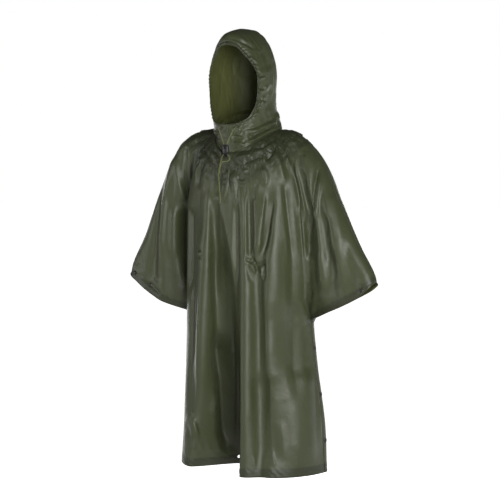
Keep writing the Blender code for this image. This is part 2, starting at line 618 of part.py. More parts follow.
def surface_frame(mesh, point, radius):
    """A frame on the surface nearest a point, its Z axis along the normal, clear of the cloth nearby."""
    tree = surface_tree(mesh)
    place, normal, _, _ = tree.find_nearest(point)
    turn = normal.to_track_quat("Z", "Y").to_matrix().to_4x4()
    height = 0.0
    for share in (0.5, 1.0):
        for k in range(12):
            angle = 2 * math.pi * k / 12
            step = Vector((math.cos(angle), math.sin(angle), 0.0)) * radius * share
            start = place + turn.to_3x3() @ step + normal * 0.01
            near, _, _, _ = tree.ray_cast(start, -normal, 0.02)
            if near is not None:
                height = max(height, (near - place).dot(normal))
    return Matrix.Translation(place + normal * (height + SEAM_GAP)) @ turn


def turned(name, profile, sides, frame, collection, finish):
    """A solid of revolution from (radius, height) pairs; a profile that starts off the axis is a ring."""
    ring = profile[0][0] > 0 and profile[-1][0] > 0
    points, faces = [], []
    for radius, height in profile:
        for k in range(sides):
            angle = 2 * math.pi * k / sides
            points.append(frame @ Vector((radius * math.cos(angle), radius * math.sin(angle), height)))
    count = len(profile)
    for i in range(count if ring else count - 1):
        j = (i + 1) % count
        for k in range(sides):
            m = (k + 1) % sides
            faces.append((i * sides + k, i * sides + m, j * sides + m, j * sides + k))
    mesh = bpy.data.meshes.new(name)
    mesh.from_pydata([tuple(p) for p in points], [], faces)
    work = bmesh.new()
    work.from_mesh(mesh)
    bmesh.ops.remove_doubles(work, verts=work.verts, dist=1e-7)
    bmesh.ops.recalc_face_normals(work, faces=work.faces)
    work.to_mesh(mesh)
    work.free()
    return add_object(name, mesh, collection, finish)


def snap(name, frame, collection, finish):
    """A pressed snap cap with a domed face."""
    r, h = SNAP_DIAMETER / 2, SNAP_HEIGHT
    profile = ((0.0, 0.0), (r, 0.0), (r, 0.45 * h), (0.75 * r, h), (0.0, h))
    return turned(name, profile, 12, frame, collection, finish)


def washer(name, outer, inner, height, sides, frame, collection, finish):
    """A rolled metal ring with a clear hole."""
    middle = 0.25 * (outer + inner)
    profile = ((inner / 2, 0.0), (outer / 2, 0.0), (outer / 2, 0.45 * height), (middle, height),
               (inner / 2, 0.5 * height))
    return turned(name, profile, sides, frame, collection, finish)


def rounded_block(name, centre, size, collection, finish):
    """A pebble-shaped moulding that is widest at its middle."""
    rings = ((-0.50, 0.80), (-0.42, 0.90), (-0.22, 0.98), (0.22, 0.98), (0.42, 0.90), (0.50, 0.80))
    sides, n = 20, 2.6
    points, faces = [], []
    for level, share in rings:
        for k in range(sides):
            angle = 2 * math.pi * k / sides
            c, s = math.cos(angle), math.sin(angle)
            x = math.copysign(abs(c) ** (2 / n), c) * share * size[0] / 2
            y = math.copysign(abs(s) ** (2 / n), s) * share * size[1] / 2
            points.append((centre[0] + x, centre[1] + y, centre[2] + level * size[2]))
    for i in range(len(rings) - 1):
        for k in range(sides):
            m = (k + 1) % sides
            faces.append((i * sides + k, i * sides + m, (i + 1) * sides + m, (i + 1) * sides + k))
    faces.append(tuple(range(sides))[::-1])
    faces.append(tuple(range((len(rings) - 1) * sides, len(rings) * sides)))
    mesh = bpy.data.meshes.new(name)
    mesh.from_pydata(points, [], faces)
    return add_object(name, mesh, collection, finish)


def cut(made, name, mesh, cutters):
    """Takes a cutter's solid away from an object."""
    cutter = bpy.data.objects.new(name, mesh)
    cutters.objects.link(cutter)
    cutter.hide_render = True
    cutter.display_type = "WIRE"
    hole = made.modifiers.new(name, "BOOLEAN")
    hole.operation = "DIFFERENCE"
    hole.solver = "EXACT"
    hole.object = cutter


def cylinder_mesh(name, radius, low, high, sides, frame):
    work = bmesh.new()
    move = frame @ Matrix.Translation((0.0, 0.0, 0.5 * (low + high)))
    bmesh.ops.create_cone(work, cap_ends=True, segments=sides, radius1=radius, radius2=radius,
                          depth=high - low, matrix=move)
    mesh = bpy.data.meshes.new(name)
    work.to_mesh(mesh)
    work.free()
    return mesh


def box_mesh(name, centre, size):
    work = bmesh.new()
    bmesh.ops.create_cube(work, size=1.0, matrix=Matrix.Translation(centre) @ Matrix.Diagonal((*size, 1.0)))
    mesh = bpy.data.meshes.new(name)
    work.to_mesh(mesh)
    work.free()
    return mesh


def cord(name, path, collection, finish):
    """A round cord along a smooth line near its points."""
    points = spaced(rounded(np.array(path)), 5 * (len(path) - 1) // 2)
    curve = bpy.data.curves.new(name, "CURVE")
    curve.dimensions = "3D"
    curve.bevel_depth = CORD_DIAMETER / 2
    curve.bevel_resolution = 1
    curve.use_fill_caps = True
    line = curve.splines.new("POLY")
    line.points.add(len(points) - 1)
    for point, place in zip(line.points, points):
        point.co = (*place, 1.0)
    return add_object(name, curve, collection, finish)


def neck_patch_mesh(front, back):
    """The reinforcement round the neck, through the sheet's own points as one ring."""
    first, last = PATCH_ROWS[0], PATCH_ROWS[-1] + 1
    f, b = front[first:last].copy(), back[first:last, ::-1]
    f[:, 0] = 0.5 * (f[:, 0] + b[:, -1])
    f[:, -1] = 0.5 * (f[:, -1] + b[:, 0])
    slants = mirrored_slants(f.shape[1] - 1) + mirrored_slants(b.shape[1] - 1)
    return grid_mesh("neck_patch", np.concatenate([f, b[:, 1:-1]], axis=1), -1, slants, closed=True)


def side_lap_mesh(name, back, side):
    """The front's own edge where it lies over the back, through the back's points beside the closing."""
    rows = back[LAP_ROWS[0]:LAP_ROWS[-1] + 1]
    strip = rows[:, -LAP_COLUMNS:] if side > 0 else rows[:, :LAP_COLUMNS]
    return grid_mesh(name, strip, 1, [side < 0] * LAP_COLUMNS)


def lap_middle(lap, z):
    """A point on a side lap half way across its width, at a height."""
    near = sorted((v.co for v in lap.vertices), key=lambda p: abs(p.z - z))[:2 * LAP_COLUMNS]
    centre = sum(near, Vector()) / len(near)
    return Vector((centre.x, centre.y, z))


def main():
    for old in list(bpy.data.objects):
        bpy.data.objects.remove(old, do_unlink=True)
    garment = bpy.data.collections.new("rain_poncho")
    cutters = bpy.data.collections.new("cutters")
    for collection in (garment, cutters):
        bpy.context.scene.collection.children.link(collection)
    nylon = material("olive_nylon", (0.105, 0.115, 0.075), 0.45)
    metal = material("dark_metal", (0.060, 0.060, 0.052), 0.40, 0.8)
    plastic = material("black_plastic", (0.020, 0.020, 0.022), 0.35)
    elastic = material("lime_cord", (0.330, 0.370, 0.110), 0.60)

    front_grid = sheet("front", FRONT_ROWS, FRONT_COLUMNS)
    back_grid = sheet("back", BACK_ROWS, BACK_COLUMNS)
    front_mesh = grid_mesh("front", front_grid, -1, mirrored_slants(FRONT_COLUMNS + 2),
                           swapped=(FRONT_ROWS.index(UNDERARM_T) - 1,))
    back_mesh = grid_mesh("back", back_grid, 1, mirrored_slants(BACK_COLUMNS + 2),
                          swapped=(BACK_ROWS.index(UNDERARM_T) - 1,))
    front = cloth("front", front_mesh, WALL, garment, nylon)
    cloth("back", back_mesh, WALL, garment, nylon)
    panels = {}
    for name, side in (("left", 1), ("right", -1)):
        panels[name] = grid_mesh("hood_" + name, hood_panel(side), side, [False] * (HOOD_COLUMNS + 2))
        cloth("hood_" + name, panels[name], WALL, garment, nylon)

    patch = raised(neck_patch_mesh(front_grid, back_grid), PATCH_GAP + TRIM_WALL)
    cloth("neck_patch", patch, TRIM_WALL, garment, nylon)
    for name, side in (("left", 1), ("right", -1)):
        lap = raised(side_lap_mesh("side_lap_" + name, back_grid, side), SEAM_GAP + TRIM_WALL)
        cloth("side_lap_" + name, lap, TRIM_WALL, garment, nylon)
        for number, z in enumerate(SIDE_SNAP_Z, 1):
            frame = surface_frame(lap, lap_middle(lap, z), SNAP_DIAMETER / 2)
            snap(f"snap_side_{name}_{number}", frame, garment, metal)

    for number, (x, front_z, back_z) in enumerate(zip(*CUFF_SNAPS.values()), 1):
        for face, mesh, z in (("front", front_mesh, front_z), ("back", back_mesh, back_z)):
            frame = surface_frame(mesh, facing_point(mesh, x, z, face), SNAP_DIAMETER / 2)
            snap(f"snap_cuff_{face}_{number}", frame, garment, metal)

    place = facing_point(front_mesh, GROMMET_X, GROMMET_Z, "front")
    frame = surface_frame(front_mesh, place, GROMMET_DIAMETER / 2)
    cut(front, "grommet_hole", cylinder_mesh("grommet_hole", 0.55 * GROMMET_HOLE, -0.012, 0.010, 20, frame),
        cutters)
    washer("hem_grommet", GROMMET_DIAMETER, GROMMET_HOLE, 0.0016, 20, frame, garment, metal)
    for name, side in (("left", 1), ("right", -1)):
        place = facing_point(panels[name], side * EYELET_X, EYELET_Z, "front")
        frame = surface_frame(panels[name], place, EYELET_DIAMETER / 2)
        washer("hood_eyelet_" + name, EYELET_DIAMETER, EYELET_HOLE, 0.0010, 14, frame, garment, metal)

    lock = rounded_block("cord_lock_body", LOCK_CENTRE, LOCK_SIZE, garment, plastic)
    slot = (LOCK_CENTRE[0], LOCK_CENTRE[1] - LOCK_SIZE[1] / 2, LOCK_CENTRE[2] + 0.0045)
    cut(lock, "lock_slot", box_mesh("lock_slot", slot, (0.0034, 0.0070, 0.0090)), cutters)
    rounded_block("cord_lock_button", BUTTON_CENTRE, BUTTON_SIZE, garment, plastic)
    for name, path in CORD_PATHS.items():
        cord(name, path, garment, elastic)


main()
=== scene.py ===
"""Looks of the hooded rain poncho: fine cloth, hems, stitching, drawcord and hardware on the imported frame.

The cloth follows the solids' rings, rows and folds, cut finer, with creases, puckers and turned edges added.
Some of the front's large folds are moved to where the photograph shows them. Metres, +Z up; the front faces
-Y and the wearer's left is +X.
"""

import math

import bmesh
import bpy
import numpy as np
from mathutils import Matrix, Vector
from mathutils.bvhtree import BVHTree


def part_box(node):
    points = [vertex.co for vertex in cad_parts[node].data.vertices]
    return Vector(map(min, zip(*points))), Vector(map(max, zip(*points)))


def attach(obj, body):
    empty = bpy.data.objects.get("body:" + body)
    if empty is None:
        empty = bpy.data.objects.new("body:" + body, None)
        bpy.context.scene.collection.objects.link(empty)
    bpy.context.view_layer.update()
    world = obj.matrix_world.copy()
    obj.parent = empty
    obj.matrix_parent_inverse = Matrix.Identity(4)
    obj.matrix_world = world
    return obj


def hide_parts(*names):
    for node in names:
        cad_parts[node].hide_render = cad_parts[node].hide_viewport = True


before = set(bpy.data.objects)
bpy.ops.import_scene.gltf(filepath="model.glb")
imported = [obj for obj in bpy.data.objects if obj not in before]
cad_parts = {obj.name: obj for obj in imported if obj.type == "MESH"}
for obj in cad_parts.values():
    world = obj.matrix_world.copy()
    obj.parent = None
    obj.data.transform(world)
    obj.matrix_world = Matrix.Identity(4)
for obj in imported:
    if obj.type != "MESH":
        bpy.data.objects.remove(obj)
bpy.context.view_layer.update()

# ---- sizes ------------------------------------------------------------------------------------------
MM = 0.001
FAR = 9.0  # farther than any point of the poncho from another

WALL = 0.0007  # real thickness of the coated cloth
HEM_Z = -1.036
HEM_WIDTH = 0.027  # turned hem at the bottom
CUFF_WIDTH = 0.020  # turned hem at the cuffs
CUFF_DROP = 0.005  # the front's cuff edge hangs this much lower than in the solids, and the back's higher
CHANNEL_WIDTH = 0.011  # cord channel round the face opening
HEM_STITCH = 0.002  # stitching below a turned hem's upper edge
SEAM_STITCH = 0.0035  # stitching beside the hood's seams
PATCH_STITCHES = (0.0025, 0.0085)  # the neck reinforcement's two rows above its lower edge
STITCH_PITCH, STITCH_LENGTH, STITCH_HALF = 0.0040, 0.0029, 0.00032
LAP_SHARE = 0.045  # share of the back's width that the front's lap covers
WELD = 1e-7  # points closer than this are one

# Heights of the fine relief: waves, crumples and puckers of the cloth, steps and dips at its stitching.
BROAD_WAVES, SMALL_WAVES, YOKE_CRUMPLES, LONG_CRUMPLES = 0.0010, 0.0004, 0.0013, 0.0006
HEM_STEP, HEM_PUCKERS, STITCH_DIP = 0.0006, 0.0011, -0.0009
CHANNEL_RISE, CHANNEL_DIP, CHANNEL_GATHERS = 0.0012, -0.0010, 0.0019
HOOD_WAVES, HOOD_CRUMPLES, COLLAR_CRUMPLES = 0.0016, 0.0010, 0.0016
PATCH_LIFT, PATCH_PUCKERS, LAP_LIFT = 0.0019, 0.0026, 0.0012
GATHER_RISE, GATHER_SPREAD = 0.0030, 0.0012  # of the neck's gathers, and how much it varies

CORD_DIAMETER = 0.0026
SNAP_DIAMETER = 0.0145
EYELET_DIAMETER, EYELET_HOLE, EYELET_HEIGHT = 0.0085, 0.0042, 0.0013
GROMMET_DIAMETER, GROMMET_HOLE, GROMMET_HEIGHT = 0.0180, 0.0110, 0.0022
GROMMET_ROOM = 0.0008  # cloth cut back round the grommet's hole
GROMMET_SHIFT = (-0.009, -0.002, 0.005)  # from the solid's place, out from behind the leading ridge
LOCK_SLOT, LOCK_SLOT_RISE = (0.0034, 0.0070, 0.0090), 0.0045
BUTTON_RIBS, RIB_HEIGHT = 5, 0.00025

PHOTO_SIZE = 500  # pixels, square
VIEW_YAW, VIEW_RISE, VIEW_DISTANCE = math.radians(32.0), math.radians(2.5), 5.0
VIEW_TARGET = np.array([0.0, 0.0, -0.366])
VIEW_SIDE = np.array([math.cos(VIEW_YAW), math.sin(VIEW_YAW), 0.0])  # towards the photograph's right
VIEW_BACK = np.array([math.sin(VIEW_YAW) * math.cos(VIEW_RISE), -math.cos(VIEW_YAW) * math.cos(VIEW_RISE),
                      math.sin(VIEW_RISE)])  # from the poncho towards the camera
METRES_A_PIXEL = 0.00305
VIEW_SHIFT = 2  # pixels that the target lies right of the middle

OUT = {"front": -1.0, "back": 1.0}  # the way each face looks along Y
SIDES = {1: "left", -1: "right"}  # the wearer's, by the sign of X
CELLS = {"front": 236, "back": 150}
GATHERS = {"front": 16, "back": 11}
PATCH_REACH = 0.095  # ring at the neck reinforcement's outer edge
YOKE_END = 0.165  # ring where its inner layer ends
HOOD_CELLS = 124
RING_SAMPLES = 420


def table(columns, *rows):
    """A short table with named columns."""
    return {name: np.array([row[i] for row in rows], float) for i, name in enumerate(columns.split())}


def rows_of(tab):
    """The rows of a table, each as a dictionary."""
    return [dict(zip(tab, row)) for row in zip(*tab.values())]


def stretches(*parts):
    """Rows spread over parts that are given as (start, number of rows); the last gives only the end."""
    rows = [np.linspace(a[0], b[0], a[1], endpoint=False) for a, b in zip(parts[:-1], parts[1:])]
    return np.concatenate(rows + [[parts[-1][0]]])


# Rings of the sheet from the neck seam (t = 0) down to the hem (t = 1). Each ring starts at the centre of
# the front or back and ends on the shoulder line, the cuff or the side closing.
RINGS = table(
    "t     front_z back_z  left_x left_y  left_z  right_x right_y right_z",
    (0.00, -0.070, -0.002, 0.100, 0.000, -0.002, -0.100, 0.000, 0.007),
    (0.05, -0.100, -0.035, 0.137, 0.002, -0.006, -0.140, 0.002, 0.004),
    (0.11, -0.135, -0.080, 0.177, 0.002, -0.024, -0.190, 0.002, -0.006),
    (0.18, -0.185, -0.145, 0.214, 0.000, -0.056, -0.238, 0.000, -0.032),
    (0.25, -0.240, -0.210, 0.252, -0.003, -0.104, -0.273, -0.003, -0.082),
    (0.36, -0.330, -0.310, 0.309, -0.010, -0.213, -0.324, -0.010, -0.195),
    (0.46, -0.410, -0.405, 0.371, -0.018, -0.330, -0.370, -0.018, -0.312),
    (0.55, -0.480, -0.480, 0.436, -0.022, -0.450, -0.430, -0.022, -0.440),
    (0.58, -0.508, -0.508, 0.415, -0.020, -0.475, -0.395, -0.020, -0.470),
    (0.62, -0.545, -0.545, 0.334, -0.008, -0.516, -0.322, -0.012, -0.517),
    (0.64, -0.565, -0.565, 0.276, 0.012, -0.540, -0.283, -0.010, -0.534),
    (0.66, -0.585, -0.585, 0.223, 0.032, -0.560, -0.244, -0.006, -0.549),
    (0.68, -0.605, -0.605, 0.181, 0.048, -0.578, -0.208, -0.002, -0.564),
    (0.78, -0.735, -0.735, 0.196, 0.050, -0.728, -0.212, 0.000, -0.712),
    (0.90, -0.895, -0.888, 0.216, 0.056, -0.893, -0.223, 0.004, -0.884),
    (1.00, HEM_Z, -1.004, 0.222, 0.060, -1.037, -0.233, 0.006, -1.020),
)
WRIST_T, UNDERARM_T = 0.55, 0.68
# Close together at the neck and the hem, and even between.
SHEET_ROWS = stretches((0.0, 44), (0.16, 66), (WRIST_T, 22), (UNDERARM_T, 44), (0.955, 13), (1.0, 0))
CUFF_ROWS = (SHEET_ROWS > WRIST_T) & (SHEET_ROWS < UNDERARM_T)

BODY = table(
    "z      front  back   left   right",
    (-1.10, 0.138, 0.125, 0.224, 0.240),
    (-0.80, 0.136, 0.122, 0.205, 0.217),
    (-0.60, 0.134, 0.122, 0.184, 0.208),
    (-0.40, 0.134, 0.122, 0.202, 0.206),
    (-0.22, 0.134, 0.118, 0.200, 0.202),
    (-0.10, 0.125, 0.103, 0.170, 0.170),
    (-0.02, 0.108, 0.088, 0.130, 0.130),
    (0.05, 0.100, 0.080, 0.110, 0.110),
)
SQUARENESS = {"front": 2.6, "back": 2.1}
BODY_SPACING = 0.30
ROOT_SHARE, ROOT_DEPTH = 0.25, 0.036

SLEEVE = table(
    "below half",
    (0.00, 0.066),
    (0.06, 0.060),
    (0.12, 0.048),
    (0.18, 0.034),
    (0.24, 0.016),
    (0.28, 0.012),
    (0.60, 0.012),
)
ARM = table(
    "x     share",
    (0.00, 1.00),
    (0.24, 1.00),
    (0.33, 0.80),
    (0.40, 0.52),
    (0.46, 0.44),
)
SLEEVE_ROUND, NECK_ROUND, BLEND, LEAST_DEPTH = 0.055, 0.100, 0.030, 0.0070

# Large folds: a line from top through mid to low, half widths and rises. The back's are the solids' own;
# some of the front's are moved by up to 30 mm to where the photograph shows them.
LOW = -1.08
FOLDS = "top_x top_z mid_x mid_z low_x low_z top_wide low_wide top_rise mid_rise low_rise"
FRONT_FOLDS = table(
    FOLDS,
    (-0.048, -0.25, -0.024, -0.56, -0.060, LOW, 0.020, 0.070, -0.010, -0.060, -0.205),  # centre pleat
    (-0.085, -0.20, -0.092, -0.52, -0.112, -0.85, 0.014, 0.026, 0.006, 0.009, 0.003),
    (-0.128, -0.24, -0.135, -0.56, -0.140, -0.90, 0.022, 0.030, -0.004, -0.008, -0.006),
    (0.056, -0.22, 0.062, -0.56, 0.066, LOW, 0.014, 0.028, 0.007, 0.013, 0.014),  # leading ridge
    (0.028, -0.20, 0.026, -0.42, 0.018, -0.62, 0.009, 0.012, -0.006, -0.010, 0.0),
    (0.084, -0.18, 0.098, -0.56, 0.104, LOW, 0.014, 0.024, -0.005, -0.008, -0.009),
    (0.090, -0.18, 0.094, -0.34, 0.098, -0.44, 0.013, 0.012, 0.007, 0.012, 0.0),
    (0.130, -0.19, 0.118, -0.36, 0.104, -0.46, 0.014, 0.018, -0.006, -0.012, 0.0),
    (0.130, -0.24, 0.136, -0.56, 0.134, LOW, 0.016, 0.022, 0.003, 0.006, 0.000),
    (0.186, -0.34, 0.190, -0.66, 0.182, LOW, 0.020, 0.034, -0.003, -0.005, 0.003),
    (0.180, -0.07, 0.236, -0.32, 0.234, -0.50, 0.018, 0.022, -0.008, -0.020, -0.006),  # before the arm
    (-0.180, -0.07, -0.220, -0.32, -0.218, -0.46, 0.020, 0.024, -0.008, -0.018, -0.002),
    (0.255, -0.14, 0.292, -0.34, 0.302, -0.52, 0.014, 0.016, -0.006, -0.012, 0.0),
    (0.280, -0.20, 0.325, -0.38, 0.348, -0.52, 0.014, 0.018, 0.004, 0.008, 0.003),
    (-0.262, -0.12, -0.290, -0.34, -0.300, -0.54, 0.016, 0.022, 0.006, 0.012, 0.008),
    (-0.290, -0.16, -0.325, -0.36, -0.345, -0.50, 0.014, 0.018, -0.005, -0.010, -0.004),
)
BACK_FOLDS = table(
    FOLDS,
    (0.000, -0.18, 0.004, -0.56, 0.010, LOW, 0.020, 0.036, -0.006, -0.016, -0.030),
    (0.042, -0.20, 0.046, -0.56, 0.060, LOW, 0.018, 0.030, 0.006, 0.012, 0.018),
    (-0.040, -0.20, -0.044, -0.60, -0.052, LOW, 0.018, 0.032, 0.006, 0.014, 0.022),
    (0.088, -0.18, 0.092, -0.52, 0.110, LOW, 0.018, 0.030, -0.006, -0.014, -0.024),
    (-0.085, -0.22, -0.092, -0.60, -0.104, LOW, 0.018, 0.028, -0.005, -0.014, -0.026),
    (0.130, -0.20, 0.138, -0.56, 0.158, LOW, 0.018, 0.026, 0.005, 0.012, 0.018),
    (-0.126, -0.20, -0.132, -0.56, -0.152, LOW, 0.018, 0.026, 0.006, 0.012, 0.018),
    (0.175, -0.07, 0.218, -0.32, 0.212, -0.48, 0.020, 0.024, -0.006, -0.016, -0.002),
    (-0.180, -0.07, -0.222, -0.32, -0.218, -0.52, 0.016, 0.022, -0.006, -0.020, -0.010),
    (0.262, -0.16, 0.296, -0.36, 0.312, -0.52, 0.018, 0.024, 0.005, 0.010, 0.006),
    (-0.268, -0.16, -0.300, -0.36, -0.318, -0.52, 0.018, 0.024, 0.005, 0.010, 0.006),
)

# Rows of the hood from the neck seam (t = 0) to the seam over the crown (t = 1).
HOOD = table(
    "t     face_x face_y  face_z half_x  side_y  back_y  back_z arch   lean",
    (0.00, 0.000, -0.118, -0.070, 0.1000, 0.000, 0.088, -0.002, 0.000, 0.000),
    (0.10, 0.000, -0.122, -0.043, 0.0960, -0.010, 0.082, 0.024, 0.000, -0.001),
    (0.20, 0.000, -0.130, -0.012, 0.0900, -0.020, 0.077, 0.052, 0.000, -0.003),
    (0.28, 0.000, -0.135, 0.012, 0.0880, -0.026, 0.075, 0.076, -0.007, -0.005),
    (0.31, 0.026, -0.133, 0.015, 0.0875, -0.028, 0.075, 0.086, -0.005, -0.005),
    (0.35, 0.045, -0.126, 0.0215, 0.0870, -0.030, 0.075, 0.098, -0.003, -0.005),
    (0.40, 0.061, -0.115, 0.032, 0.0870, -0.032, 0.075, 0.114, -0.001, -0.005),
    (0.46, 0.073, -0.106, 0.052, 0.0880, -0.034, 0.074, 0.134, 0.000, -0.005),
    (0.53, 0.0815, -0.100, 0.078, 0.0900, -0.036, 0.073, 0.158, 0.000, -0.005),
    (0.60, 0.085, -0.0975, 0.110, 0.0920, -0.038, 0.071, 0.184, 0.003, -0.005),
    (0.68, 0.086, -0.0975, 0.146, 0.0925, -0.040, 0.066, 0.213, 0.006, -0.006),
    (0.75, 0.081, -0.100, 0.172, 0.0885, -0.042, 0.056, 0.238, 0.012, -0.006),
    (0.81, 0.070, -0.106, 0.192, 0.0790, -0.046, 0.043, 0.259, 0.022, -0.006),
    (0.88, 0.048, -0.117, 0.220, 0.0600, -0.048, 0.024, 0.279, 0.030, -0.006),
    (0.94, 0.031, -0.1245, 0.239, 0.0350, -0.048, 0.005, 0.292, 0.035, -0.006),
    (0.97, 0.0165, -0.1300, 0.2462, 0.0180, -0.048, -0.0045, 0.2955, 0.036, -0.006),
    (1.00, 0.000, -0.134, 0.248, 0.0006, -0.048, -0.014, 0.298, 0.037, -0.006),
)
HOOD_SQUARENESS = 2.2
HOOD_OPEN_T = 0.28  # above this row the hood is open for the face
# Closest where the face opening turns and at the crown.
HOOD_ROWS = stretches((0.0, 34), (0.25, 44), (0.42, 118), (0.90, 23), (1.0, 0))
HOOD_FOLDS = table(
    "from_v from_t to_v  to_t  wide   left    right",
    (0.20, 0.165, 0.56, 0.19, 0.050, 0.008, 0.005),
    (0.18, 0.09, 0.56, 0.110, 0.045, -0.006, -0.003),
    (0.62, 0.22, 0.95, 0.210, 0.060, 0.004, 0.004),
)


def creases(*rows):
    """Creases where they are seen in the photograph: each a curve through three points, in pixels.

    wide and rise are real sizes in millimetres, and a rise below 0 is a valley; crisp is 1 for a sharp fold
    and 0 for a soft one; lean above 0 makes the right side of the fold the steeper one.
    """
    made = table("from_x from_y mid_x mid_y to_x to_y wide rise crisp lean", *rows)
    made["wide"] *= MM
    made["rise"] *= MM
    return made


